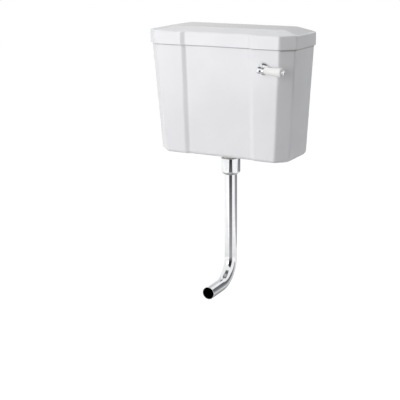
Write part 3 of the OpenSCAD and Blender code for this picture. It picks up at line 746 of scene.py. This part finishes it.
def lathe(bm, profile, place, steps=96, flats=0.0):
    """Turns a closed profile of (radius, height) round the z axis of a placing matrix, into a bmesh."""
    rows = []
    angles = [math.tau * k / steps for k in range(steps)]
    for r, z in profile:
        if r < ON_AXIS:
            rows.append([bm.verts.new(place @ Vector((0, 0, z)))])
        else:
            reach = [(a, hexed(r, a, flats)) for a in angles]
            points = [Vector((s * math.cos(a), s * math.sin(a), z)) for a, s in reach]
            rows.append([bm.verts.new(place @ point) for point in points])
    for low, high in zip(rows, rows[1:] + rows[:1]):
        for k in range(steps):
            n = (k + 1) % steps
            ring = [low[k % len(low)], low[n % len(low)], high[n % len(high)], high[k % len(high)]]
            corners = list(dict.fromkeys(ring))
            if len(corners) > 2:
                bm.faces.new(corners)


def eased_profile(points, steps=5):
    """A closed profile from (radius, height, easing) corners."""
    made = []
    corners = [Vector(p[:2]) for p in points]
    for k, (corner, point) in enumerate(zip(corners, points)):
        ease = point[2]
        if not ease:
            made.append(corner)
            continue
        back = (corners[k - 1] - corner).normalized() * ease
        ahead = (corners[(k + 1) % len(corners)] - corner).normalized() * ease
        made += [corner + back * (1 - t) ** 2 + ahead * t ** 2 for t in evenly(0, 1, steps)]
    return [(p.x, p.y) for p in made]


def lathed(name, profile, place, steps=96, flats=0.0):
    bm = bmesh.new()
    lathe(bm, profile, place, steps, flats)
    return from_bmesh(name, bm)


def arc(radius, first, last, steps, centre=0.0):
    """Profile points on a ball, by their angle from its top."""
    return [(radius * math.sin(a), centre + radius * math.cos(a)) for a in evenly(first, last, steps)]


def dome_arc(width, rise, top, outer, inner):
    """Profile of a shallow dome of a half width and a rise, from one radius in to another."""
    ball = (width ** 2 + rise ** 2) / (2 * rise)
    return arc(ball, math.asin(outer / ball), math.asin(inner / ball), 24, top - ball)


def axis_place(point, direction):
    """A matrix that puts the origin at a point and turns z to a direction."""
    return Matrix.Translation(point) @ Vector(direction).to_track_quat("Z", "Y").to_matrix().to_4x4()


def carve(obj, cutters):
    """Cuts round holes, each given by its two end points and its radius."""
    for start, end, radius in cutters:
        axis = end - start
        bm = bmesh.new()
        bmesh.ops.create_cone(bm, cap_ends=True, segments=72, radius1=radius, radius2=radius,
                              depth=axis.length, matrix=axis_place((start + end) / 2, axis))
        cutter = from_bmesh("Cutter", bm)
        cut = obj.modifiers.new("Cut", "BOOLEAN")
        cut.operation, cut.solver, cut.object = "DIFFERENCE", "EXACT", cutter
        bake(obj)
        bpy.data.objects.remove(cutter)


def smooth_copy(node, name, bevel):
    """A merged copy of a CAD node with its sharp edges rounded a little."""
    bm = bmesh.new()
    bm.from_mesh(frame["nodes"][node].data)
    bmesh.ops.remove_doubles(bm, verts=bm.verts, dist=MERGE)
    bmesh.ops.dissolve_limit(bm, angle_limit=FLAT, verts=bm.verts, edges=bm.edges)
    if bevel:
        sharp = [e for e in bm.edges if len(e.link_faces) == 2 and e.calc_face_angle(0.0) > SHARP]
        bmesh.ops.bevel(bm, geom=sharp, offset=bevel, segments=2, profile=0.5, affect="EDGES",
                        clamp_overlap=True)
    return smooth(from_bmesh(name, bm), COPY_EDGE)


def settle_copies(*rows):
    """Settles rounded copies of CAD nodes, each given by its node, its name and its rounding."""
    for node, name, bevel in rows:
        settle(smooth_copy(node, name, bevel), node)


# Geometry Nodes


def new_tree(name, inputs):
    """An empty geometry tree with named inputs, and its start and end sockets."""
    return new_group(name, "GeometryNodeTree", inputs, {"Geometry": "Geometry"})


def close_tree(tree, start, end, shape):
    """Ends a tree in real geometry with its material."""
    real = add(tree, "GeometryNodeRealizeInstances", {"Geometry": shape}).outputs[0]
    dressed = add(tree, "GeometryNodeSetMaterial", {"Geometry": real, "Material": start["Material"]})
    tree.links.new(dressed.outputs[0], end["Geometry"])
    return tree


def nut_tree():
    """Hexagon nuts in a row, chamfered on both faces and bored."""
    tree, start, end = new_tree("Hexagon nuts", {
        "Across flats": ("Float", 0.02), "Bore": ("Float", 0.005), "Height": ("Float", 0.006),
        "Count": ("Int", 1), "Step": ("Float", 0.0), "Material": ("Material", None)})
    flats, height = start["Across flats"], start["Height"]
    # Heights of the nut that the blank is tall and that each chamfering cone is deep,
    # and radius of the flat ring on each face as a share of the size across flats
    blank_tall, cone_deep, crest_share = 3.0, 2.0, 0.475
    tall = times(tree, height, blank_tall)
    prism = add(tree, "GeometryNodeMeshCylinder", {
        "Vertices": 6, "Radius": times(tree, flats, 1 / math.sqrt(3)), "Depth": tall}).outputs["Mesh"]
    crest = times(tree, flats, crest_share)
    foot = blend_values(tree, crest, times(tree, height, cone_deep * math.sqrt(3)))
    cone = add(tree, "GeometryNodeMeshCone", {
        "Vertices": 48, "Radius Top": crest, "Radius Bottom": foot,
        "Depth": times(tree, height, cone_deep)}).outputs["Mesh"]
    faces = []
    for side, turn in ((0.5 - cone_deep, 0.0), (cone_deep - 0.5, math.pi)):
        shift = add(tree, "ShaderNodeCombineXYZ", {"Z": times(tree, height, side)}).outputs[0]
        faces.append(add(tree, "GeometryNodeTransform", {"Geometry": cone, "Translation": shift,
                                                         "Rotation": (turn, 0.0, 0.0)}).outputs[0])
    blank = add(tree, "GeometryNodeMeshBoolean", operation="INTERSECT", solver="EXACT")
    for shape in (prism, *faces):
        tree.links.new(shape, blank.inputs["Mesh 2"])
    bore = add(tree, "GeometryNodeMeshCylinder", {"Vertices": 48, "Radius": start["Bore"], "Depth": tall})
    solids = {"Mesh 1": blank.outputs["Mesh"], "Mesh 2": bore.outputs["Mesh"]}
    nut = add(tree, "GeometryNodeMeshBoolean", solids, operation="DIFFERENCE", solver="EXACT").outputs["Mesh"]
    step = add(tree, "ShaderNodeCombineXYZ", {"Z": start["Step"]}).outputs[0]
    row = add(tree, "GeometryNodeMeshLine", {"Count": start["Count"], "Offset": step}).outputs["Mesh"]
    placed = add(tree, "GeometryNodeInstanceOnPoints", {"Points": row, "Instance": nut}).outputs[0]
    return close_tree(tree, start, end, placed)


def thread_tree():
    """The ridge of a screw thread, wound along z from the origin."""
    tree, start, end = new_tree("Thread", {
        "Core radius": ("Float", 0.01), "Depth": ("Float", 0.0008), "Pitch": ("Float", 0.0018),
        "Length": ("Float", 0.02), "Material": ("Material", None)})
    turns = blend_values(tree, start["Length"], start["Pitch"], "DIVIDE")
    spiral = add(tree, "GeometryNodeCurveSpiral", {
        "Resolution": 40, "Rotations": turns, "Start Radius": start["Core radius"],
        "End Radius": start["Core radius"], "Height": start["Length"]}).outputs["Curve"]
    upright = add(tree, "GeometryNodeSetCurveNormal", {"Curve": spiral}, mode="Z_UP").outputs["Curve"]
    ridge = add(tree, "GeometryNodeCurvePrimitiveCircle", {"Resolution": 4, "Radius": start["Depth"]})
    wound = add(tree, "GeometryNodeCurveToMesh", {"Curve": upright, "Profile Curve": ridge.outputs["Curve"],
                                                  "Fill Caps": True}).outputs["Mesh"]
    return close_tree(tree, start, end, wound)


def tube_tree():
    """The outside of a tube along a path of straight runs, with round bends."""
    tree, start, end = new_tree("Bent tube", {
        "Path": ("Geometry", None), "Radius": ("Float", 0.019), "Bend": ("Float", 0.075),
        "Material": ("Material", None)})
    path = add(tree, "GeometryNodeMeshToCurve", {"Mesh": start["Path"]}).outputs["Curve"]
    bent = add(tree, "GeometryNodeFilletCurve", {"Curve": path, "Count": 40, "Radius": start["Bend"]},
               mode="POLY").outputs["Curve"]
    section = add(tree, "GeometryNodeCurvePrimitiveCircle", {"Resolution": 96, "Radius": start["Radius"]})
    skin = add(tree, "GeometryNodeCurveToMesh", {"Curve": bent, "Profile Curve": section.outputs["Curve"]})
    return close_tree(tree, start, end, skin.outputs["Mesh"])


def grown(name, tree_name, maker, place, slot, path=(), **inputs):
    """The mesh that a tree makes with these inputs, as an object with its place in its mesh."""
    tree = shared(tree_name, maker)
    seed = bpy.data.meshes.new(name)
    seed.from_pydata(path, [(i, i + 1) for i in range(len(path) - 1)], [])
    obj = new_object(name, seed)
    modifier = obj.modifiers.new("Shape", "NODES")
    modifier.node_group = tree
    inputs["Material"] = finish(slot)
    for item in tree.interface.items_tree:
        key = item.name.replace(" ", "_")
        if item.item_type == "SOCKET" and item.in_out == "INPUT" and key in inputs:
            modifier[item.identifier] = inputs[key]
    bake(obj).data.transform(place)
    return obj


def joined(obj, other):
    """Adds another object's mesh to an object's own and removes the other."""
    bm = bmesh.new()
    bm.from_mesh(obj.data)
    bm.from_mesh(other.data)
    bm.to_mesh(obj.data)
    bm.free()
    bpy.data.objects.remove(other)
    return obj


# Operators


class CISTERN_OT_tank(bpy.types.Operator):
    """Builds the glazed tank with its holes"""

    bl_idname = "cistern.tank"
    bl_label = "Tank"

    def seated_hole(self, start, end, bore, seat):
        """Cutters of a hole between two points in a wall, and of a flat seat beyond each of them."""
        over = (end - start).normalized() * SEAT_REACH
        return [(start - over, end + over, bore), (start - over, start, seat), (end, end + over, seat)]

    def holes(self):
        """Cutters of the outlet, the wall fixings, the lever's hole and the inlet."""
        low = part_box("tank")[0].z
        outlet, lever, inlet = (middle(node) for node in ("siphon_seal", "lever_spindle", "valve_cap"))
        face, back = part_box("escutcheon_washer")[1].y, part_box("lever_inner_washer")[0].y
        left, right = (corner.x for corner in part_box("valve_washers"))
        under, over = (Vector((outlet.x, outlet.y, low + z)) for z in (-0.01, 0.03))
        cutters = [(under, over, OUTLET_RADIUS)]
        for x in (-FIXING_OUT, FIXING_OUT):
            cutters.append((Vector((x, -0.02, 0)), Vector((x, 0.01, 0)), FIXING_RADIUS))
        cutters += self.seated_hole(*(Vector((lever.x, y, lever.z)) for y in (face, back)),
                                    LEVER_HOLE, span("lever_escutcheon", 0) / 2 + SEAT_CLEAR)
        cutters += self.seated_hole(*(Vector((x, inlet.y, inlet.z)) for x in (left + WASHER, right - WASHER)),
                                    INLET_HOLE, INLET_NUT / math.sqrt(3) + SEAT_CLEAR)
        return cutters

    def execute(self, context):
        tank = loft("Tank", tank_rings(context.scene.cistern_china))
        carve(tank, self.holes())
        settle(smooth(tank, CHINA_EDGE), "tank")
        return {"FINISHED"}


class CISTERN_OT_lid(bpy.types.Operator):
    """Builds the glazed lid with its crown and lip"""

    bl_idname = "cistern.lid"
    bl_label = "Lid"

    def execute(self, context):
        settle(smooth(loft("Lid", lid_rings(context.scene.cistern_china)), CHINA_EDGE), "lid")
        return {"FINISHED"}


class CISTERN_OT_lever(bpy.types.Operator):
    """Builds the domed escutcheon, the hub, the collar, the grip and its end"""

    bl_idname = "cistern.lever"
    bl_label = "Lever"

    def escutcheon(self, sizes, pipe, axis):
        """The domed plate, with its threaded bush through the wall."""
        plate_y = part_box("escutcheon_washer")[0].y
        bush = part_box("lever_escutcheon")[1].y - plate_y
        core, rim, chamfer = BUSH_RADIUS - pipe.thread, sizes.escutcheon / 2, 0.0006
        # Stretch of the bush without a thread, at its tip and in all
        plain_tip, plain = 0.001, 0.014
        edge = rim - 0.001
        plate = eased_profile([(core, 0, 0), (rim, 0, 0.0003), (rim, sizes.plate, 0.0008)])
        dome = dome_arc(edge, sizes.dome_rise, sizes.plate + sizes.dome_rise, edge, SPINDLE_BORE)
        profile = [(SPINDLE_BORE, -bush), (core - chamfer, -bush), (core, chamfer - bush), *plate, *dome]
        made = lathed("Escutcheon", profile, axis_place((axis.x, plate_y, axis.z), (0, -1, 0)))
        tip = axis_place((axis.x, plate_y + bush - plain_tip, axis.z), (0, -1, 0))
        ridge = grown("Bush_thread", "Thread", thread_tree, tip, "chrome", Core_radius=core,
                      Depth=pipe.thread, Pitch=pipe.pitch, Length=bush - plain)
        settle(smooth(joined(made, ridge), TURNED_EDGE), "lever_escutcheon")

    def hub(self, sizes, centre, place, boss_end):
        """The ball, with a boss for the grip and a neck back to the escutcheon."""
        ball, boss = sizes.ball / 2, sizes.grip_root / 2 - 0.0008
        shell = arc(ball, math.pi, math.asin(boss / ball), 40)
        face = eased_profile([
            (boss, boss_end - 0.002, 0), (boss, boss_end, 0.0006), (STUD_BORE, boss_end, 0)])
        stud_end = 0.006
        bm = bmesh.new()
        lathe(bm, [*shell, *face, (STUD_BORE, stud_end), (0, stud_end)], place)

        inside, neck, spindle = 0.004, 0.0075, 0.00505
        waist = neck - 0.0006
        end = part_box("lever_hub")[1].y - centre.y
        neck_side = eased_profile([
            (0, inside, 0), (waist, inside, 0), (waist, end - 0.003, 0.001), (neck, end - 0.002, 0.0005),
            (neck, end, 0.0005), (spindle, end, 0), (spindle, end - 0.001, 0), (0, end - 0.001, 0)])
        lathe(bm, neck_side, axis_place(centre, (0, 1, 0)))
        settle(smooth(from_bmesh("Hub", bm), TURNED_EDGE), "lever_hub")

    def collar(self, sizes, place, start, end):
        """The ring between hub and grip."""
        ring, ease = sizes.grip_root / 2 + 0.0007, 0.0009
        profile = eased_profile([
            (STUD_BORE, start, 0), (ring, start, ease), (ring, end, ease), (STUD_BORE, end, 0)])
        settle(smooth(lathed("Collar", profile, place), TURNED_EDGE), "grip_collar")

    def grip(self, sizes, place, start, end):
        """The china grip, wider towards its rounded end."""
        root, flare = sizes.grip_root / 2, sizes.grip_end / 2
        side = [(lerp(root, flare, t), lerp(start, end, t)) for t in evenly(0, 1, 16)[1:14]]
        foot = eased_profile([(STUD_BORE, start, 0), (root, start, 0.0012), side[0] + (0,)])
        tip = eased_profile([side[-1] + (0,), (flare, end, 0.005), (STUD_BORE, end, 0)], 10)
        settle(smooth(lathed("Grip", [*foot, *side[1:], *tip[1:]], place), ROUND_EDGE), "lever_grip")

    def knob(self, sizes, place, start):
        """The domed knob on the end of the grip."""
        radius, top, stud_end = KNOB_SHARE * sizes.grip_end / 2, start + KNOB_BASE, start + 0.005
        side = [(STUD_BORE, start), (radius - 0.0005, start), (radius, start + 0.0005),
                (radius, top - 0.0007), (radius - 0.0006, top - 0.0001)]
        dome = dome_arc(radius, KNOB_RISE, top + KNOB_RISE, radius - 0.0002, 0)
        profile = [*side, *dome, (0, stud_end), (STUD_BORE, stud_end)]
        settle(smooth(lathed("End_knob", profile, place), TURNED_EDGE), "grip_end_cap")

    def execute(self, context):
        sizes = context.scene.cistern_lever
        axis = middle("lever_spindle")
        self.escutcheon(sizes, context.scene.cistern_pipe, axis)
        centre = Vector((axis.x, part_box("lever_spindle")[0].y, axis.z))
        place = axis_place(centre, (math.cos(sizes.droop), 0, -math.sin(sizes.droop)))
        boss_end = sizes.ball / 2 + BOSS_STEP
        grip_start = boss_end + sizes.collar
        grip_end = grip_start + sizes.grip
        self.hub(sizes, centre, place, boss_end)
        self.collar(sizes, place, boss_end, grip_start)
        self.grip(sizes, place, grip_start, grip_end)
        self.knob(sizes, place, grip_end)
        return {"FINISHED"}


class CISTERN_OT_flush_pipe(bpy.types.Operator):
    """Bends the flush pipe and puts the union nut and its seal on it"""

    bl_idname = "cistern.flush_pipe"
    bl_label = "Flush pipe"

    def union_nut(self, sizes, r, y):
        """The nut, with soft edges, a bore over the siphon's tail and a foot round the pipe."""
        foot, head = (corner.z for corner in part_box("union_nut"))
        corner, clear, bore, seat = sizes.nut / math.sqrt(3), r + 0.0003, 0.0242, head - 0.042
        profile = eased_profile([
            (clear, foot, 0), (r + 0.0022, foot, 0), (corner - 0.0022, foot + 0.0033, 0.0083),
            (corner - 0.0004, head - 0.0022, 0.0006), (sizes.nut / 2 - 0.0004, head, 0.0006),
            (bore, head, 0), (bore, seat, 0), (clear, seat, 0)], 12)
        place = Matrix.Translation((0, y, 0)) @ Matrix.Rotation(sizes.nut_turn, 4, "Z")
        settle(smooth(lathed("Union_nut", profile, place, 240, sizes.nut), TURNED_EDGE), "union_nut")

    def execute(self, context):
        sizes = context.scene.cistern_pipe
        low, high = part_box("flush_pipe")
        r = sizes.diameter / 2
        y, z = high.y - r, low.z + r
        pipe = grown("Flush_pipe", "Bent tube", tube_tree, Matrix(), "chrome",
                     path=[(0, y, high.z), (0, y, z), (0, low.y, z)], Radius=r, Bend=sizes.bend)
        wall = pipe.modifiers.new("Wall", "SOLIDIFY")
        wall.thickness, wall.offset, wall.use_even_offset = sizes.wall, -1.0, True
        settle(smooth(bake(pipe), ROUND_EDGE), "flush_pipe")
        self.union_nut(sizes, r, y)
        settle_copies(("cone_seal", "Cone_seal", 0.0006))
        return {"FINISHED"}


class CISTERN_OT_nuts(bpy.types.Operator):
    """Makes the hexagon nuts inside and on the inlet"""

    bl_idname = "cistern.nuts"
    bl_label = "Hexagon nuts"

    def nut(self, name, node, direction, flats, bore, height, count=1, step=0.0):
        """A nut, or a row of them, round the middle of a CAD node."""
        first = middle(node) - Vector(direction) * step * (count - 1) / 2
        made = grown(name, "Hexagon nuts", nut_tree, axis_place(first, direction), SLOT_OF[node],
                     Across_flats=flats, Bore=bore, Height=height, Count=count, Step=step)
        settle(smooth(made, NUT_EDGE), node)

    def execute(self, context):
        self.nut("Lever_nut", "lever_back_nut", (0, 1, 0), 0.027, 0.00905, span("lever_back_nut", 1))
        self.nut("Siphon_nut", "siphon_back_nut", (0, 0, 1), 0.0598, 0.02395, span("siphon_back_nut", 2))
        self.nut("Rod_nut", "rod_nut", (0, 0, 1), 0.010, 0.00305, span("rod_nut", 2))
        self.nut("Inlet_nuts", "valve_nuts", (1, 0, 0), INLET_NUT, 0.0109, INLET_NUT_HEIGHT, 2,
                 span("valve_nuts", 0) - INLET_NUT_HEIGHT)
        return {"FINISHED"}


class CISTERN_OT_siphon(bpy.types.Operator):
    """Finishes the siphon, its piston, its seals and the crank that lifts it"""

    bl_idname = "cistern.siphon"
    bl_label = "Siphon"

    def execute(self, context):
        settle_copies(
            ("siphon_housing", "Siphon_housing", 0.0006), ("siphon_seal", "Siphon_seal", 0.0006),
            ("siphon_washer", "Siphon_washer", 0.0004), ("lift_rod", "Lift_rod", 0.0004),
            ("piston_plate", "Piston_plate", 0.0005), ("piston_flap", "Piston_flap", 0.0002),
            ("lift_link", "Lift_link", 0.0), ("crank_arm", "Crank_arm", 0.0004),
            ("crank_screw", "Crank_screw", 0.0004), ("lever_spindle", "Spindle", 0.0006),
            ("grip_stud", "Grip_stud", 0.0003), ("escutcheon_washer", "Escutcheon_washer", 0.0003),
            ("lever_inner_washer", "Inner_washer", 0.0003))
        return {"FINISHED"}


class CISTERN_OT_float_valve(bpy.types.Operator):
    """Finishes the float valve, with its inlet thread, its arm and its float"""

    bl_idname = "cistern.float_valve"
    bl_label = "Float valve"

    def valve_body(self, pipe):
        """The body, with its plain inlet thinned to a core and a thread wound on it."""
        bevel, crest, margin = 0.0004, 0.01045, 0.0002
        # Stretch of the inlet without a thread, at its tip and in all
        plain_tip, plain = 0.0012, 0.002
        body = smooth_copy("valve_body", "Valve_body", bevel)
        axis = middle("valve_cap")
        end, thread_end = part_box("valve_body")[0].x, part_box("valve_nuts")[0].x
        for vert in body.data.vertices:
            off = Vector((0, vert.co.y - axis.y, vert.co.z - axis.z))
            outside = vert.co.x < thread_end + margin
            if outside and crest - bevel - margin < off.length < crest + margin:
                vert.co -= off.normalized() * pipe.thread
        tip = axis_place((end + plain_tip, axis.y, axis.z), (1, 0, 0))
        ridge = grown("Inlet_thread", "Thread", thread_tree, tip, "brass", Core_radius=crest - pipe.thread,
                      Depth=pipe.thread, Pitch=pipe.pitch, Length=thread_end - end - plain)
        settle(smooth(joined(body, ridge), COPY_EDGE), "valve_body")

    def float_ball(self):
        """The float, with a moulding seam and a socket for its arm."""
        radius = span("float_ball", 1) / 2
        lean = frame_range("float_rise")
        socket, lip, ease = 0.00305, 0.007, 0.0006
        seam, seam_reach = 0.0006, 0.0009
        skin = [(r + (seam if abs(z) < seam_reach else 0), z)
                for r, z in arc(radius, math.pi, math.asin(lip / radius), 64)]
        mouth = [(lip, radius + ease), (lip - ease, radius + 2 * ease), (socket, radius + 2 * ease)]
        place = axis_place(middle("float_ball"), (math.sin(lean), 0, math.cos(lean)))
        settle(smooth(lathed("Float", [*skin, *mouth], place, 72), ROUND_EDGE), "float_ball")

    def execute(self, context):
        settle_copies(
            ("valve_seat", "Valve_seat", 0.0003), ("valve_cap", "Valve_cap", 0.0008),
            ("valve_washers", "Inlet_washers", 0.0003), ("valve_piston", "Valve_piston", 0.0003),
            ("piston_washer", "Piston_washer", 0.0003), ("arm_pin", "Arm_pin", 0.0003),
            ("float_arm", "Float_arm", 0.0004))
        self.valve_body(context.scene.cistern_pipe)
        self.float_ball()
        return {"FINISHED"}


class CISTERN_OT_stage(bpy.types.Operator):
    """Sets the floor, the lamps, the background and the camera"""

    bl_idname = "cistern.stage"
    bl_label = "Stage"

    def lamp(self, name, azimuth, elevation, distance, watts, width, height):
        """A soft box that faces the cistern, at an azimuth from the front towards the right."""
        light = bpy.data.lights.new(name, "AREA")
        light.shape, light.size, light.size_y, light.energy = "RECTANGLE", width, height, watts
        obj = new_object(name, light)
        a, e = math.radians(azimuth), math.radians(elevation)
        away = Vector((math.sin(a) * math.cos(e), -math.cos(a) * math.cos(e), math.sin(e)))
        obj.location = Vector((0, CENTRE_Y, LAMP_AIM)) + away * distance
        obj.rotation_euler = (-away).to_track_quat("-Z", "Y").to_euler()
        obj.visible_glossy = False

    def seen(self, tree):
        """1 for rays from the camera, and from mirrors and glass."""
        path = add(tree, "ShaderNodeLightPath").outputs
        return largest(tree, path["Is Camera Ray"], path["Is Glossy Ray"], path["Is Transmission Ray"])

    def world(self, scene, ambient):
        """White where it is seen, and a faint light on everything else."""
        scene.world = bpy.data.worlds.new("Studio")
        scene.world.use_nodes = True
        tree = scene.world.node_tree
        tree.nodes.clear()
        fill = add(tree, "ShaderNodeBackground", {"Color": WHITE, "Strength": ambient})
        white = add(tree, "ShaderNodeBackground", {"Color": WHITE, "Strength": 1.0})
        both = add(tree, "ShaderNodeMixShader", {0: self.seen(tree), 1: fill.outputs[0], 2: white.outputs[0]})
        out = add(tree, "ShaderNodeOutputWorld")
        tree.links.new(both.outputs[0], out.inputs["Surface"])

    def floor(self, drop):
        """A floor that is nearly white where it is seen, and pale paint to all other light."""
        bm = bmesh.new()
        bmesh.ops.create_grid(bm, x_segments=1, y_segments=1, size=7.0)
        mesh = bpy.data.meshes.new("Floor")
        bm.to_mesh(mesh)
        bm.free()
        obj = new_object("Floor", mesh)
        obj.location = (0, 0, -drop)
        material, tree, surface = blank_material("Floor paint")
        paint = add(tree, "ShaderNodeBsdfDiffuse", {"Color": (0.82, 0.82, 0.82, 1)})
        tone = add(tree, "ShaderNodeBsdfDiffuse", {"Color": (0.25, 0.25, 0.25, 1)})
        away = vectors(tree, "LENGTH", object_place(tree))
        glow = spread(tree, away, 1.0, 2.5, 0.92, 1.0)
        lift = add(tree, "ShaderNodeEmission", {"Color": WHITE, "Strength": glow})
        lit = add(tree, "ShaderNodeAddShader", {0: tone.outputs[0], 1: lift.outputs[0]})
        both = add(tree, "ShaderNodeMixShader", {0: self.seen(tree), 1: paint.outputs[0], 2: lit.outputs[0]})
        tree.links.new(both.outputs[0], surface)
        mesh.materials.append(material)

    def card(self, name, corners, place, weights, reach, shades, tint=WHITE):
        """A board that only mirrors see. Its shade changes over a reach from its own origin."""
        mesh = bpy.data.meshes.new(name)
        mesh.from_pydata(corners, [], [(0, 1, 2, 3)])
        obj = new_object(name, mesh)
        obj.matrix_world = place
        material, tree, surface = blank_material(name)
        far = vectors(tree, "LENGTH", vectors(tree, "MULTIPLY", object_place(tree), weights))
        strength = spread(tree, far, 0.0, reach, *shades)
        glow = add(tree, "ShaderNodeEmission", {"Color": tint, "Strength": strength})
        tree.links.new(glow.outputs[0], surface)
        mesh.materials.append(material)
        obj.visible_camera = obj.visible_diffuse = obj.visible_shadow = False

    def level(self, name, half, place, reach, shades):
        """A square card that lies level, with one shade at its middle and one further out."""
        corners = [(-half, -half, 0), (half, -half, 0), (half, half, 0), (-half, half, 0)]
        self.card(name, corners, Matrix.Translation(place), (1, 1, 0), reach, shades)

    def upright(self, name, azimuth, distance, width, height, foot, reach, shades, tint=WHITE):
        """A card that stands at an azimuth, with one shade at its foot and one a reach further up."""
        corners = [(side * width / 2, 0, z) for side, z in ((-1, 0), (1, 0), (1, height), (-1, height))]
        place = self.turned_place(azimuth, foot) @ Matrix.Translation((0, -distance, 0))
        self.card(name, corners, place, (0, 0, 1), reach, shades, tint)

    def turned_place(self, azimuth, height):
        """The cistern's middle at a height, turned to an azimuth."""
        return Matrix.Translation((0, CENTRE_Y, height)) @ Matrix.Rotation(math.radians(azimuth), 4, "Z")

    def cards(self, ground):
        """What the chrome and the glaze mirror."""
        self.upright("Dark card", 26, 0.9, 0.9, 1.03, ground, 0.5, (0.50, 0.03))
        self.upright("Grey card", 155, 1.3, 3.2, 1.02, ground, 0.5, (0.50, 0.17), (0.92, 0.95, 1, 1))
        self.level("Ceiling card", 1, (0.2, -0.1, 1.2), 1.2, (0.02, 0.25))
        width, low, high = 1.4, -0.1, 0.55
        corners = [(0, 0, low), (width, 0, low), (width, 0, high), (0, 0, high)]
        place = self.turned_place(207, 0) @ Matrix.Translation((-width / 2, -1.4, 0))
        self.card("Back card", corners, place, (1, 0, 0), width, (0.42, 0.92))
        self.upright("Bright card", -27, 1.5, 1.0, 0.6, -0.55, 0.35, (1.0, 2.6))
        self.level("Floor card", 1.5, (0, CENTRE_Y, 0.002 + ground), 1.4, (0.12, 1.0))

    def camera(self, scene):
        """The photograph's view."""
        camera = bpy.data.cameras.new("Camera")
        camera.lens, camera.sensor_width, camera.shift_x = CAMERA_LENS, CAMERA_FILM, CAMERA_SHIFT
        scene.camera = new_object("Camera", camera)
        scene.camera.location = CAMERA_PLACE
        scene.camera.rotation_euler = (math.radians(90 - CAMERA_DIP), 0, math.radians(CAMERA_TURN))

    def execute(self, context):
        scene = context.scene
        stage = scene.cistern_stage
        scene.view_settings.view_transform = "Standard"
        self.world(scene, stage.ambient)
        self.floor(stage.drop)
        self.lamp("Front lamp", -10, 8, 2.4, stage.front, 3.0, 2.0)
        self.lamp("Key lamp", -28, 19, 2.4, stage.key, 3.0, 2.2)
        self.lamp("Side lamp", 140, 10, 2.2, stage.side, 1.2, 1.6)
        self.lamp("Top lamp", 0, 80, 2.0, stage.top, 2.0, 1.6)
        self.cards(-stage.drop)
        self.camera(scene)
        return {"FINISHED"}


class CISTERN_PT_panel(bpy.types.Panel):
    """Lists the pieces of the cistern"""

    bl_idname = "CISTERN_PT_panel"
    bl_label = "Toilet cistern"
    bl_space_type = "VIEW_3D"
    bl_region_type = "UI"
    bl_category = "Cistern"

    def draw(self, context):
        for operator in OPERATORS:
            self.layout.operator(operator.bl_idname)
        for group in GROUPS:
            settings = getattr(context.scene, group)
            box = self.layout.box()
            for key in settings.__annotations__:
                box.prop(settings, key)


OPERATORS = (CISTERN_OT_stage, CISTERN_OT_tank, CISTERN_OT_lid, CISTERN_OT_lever, CISTERN_OT_flush_pipe,
             CISTERN_OT_nuts, CISTERN_OT_siphon, CISTERN_OT_float_valve)
CLASSES = (*GROUPS.values(), *OPERATORS, CISTERN_PT_panel)


def register():
    for cls in CLASSES:
        bpy.utils.register_class(cls)
    for name, group in GROUPS.items():
        setattr(bpy.types.Scene, name, PointerProperty(type=group))


def unregister():
    for name in GROUPS:
        delattr(bpy.types.Scene, name)
    for cls in reversed(CLASSES):
        bpy.utils.unregister_class(cls)


def main():
    register()
    for operator in OPERATORS:
        group, name = operator.bl_idname.split(".")
        getattr(getattr(bpy.ops, group), name)()


if __name__ == "__main__":
    main()
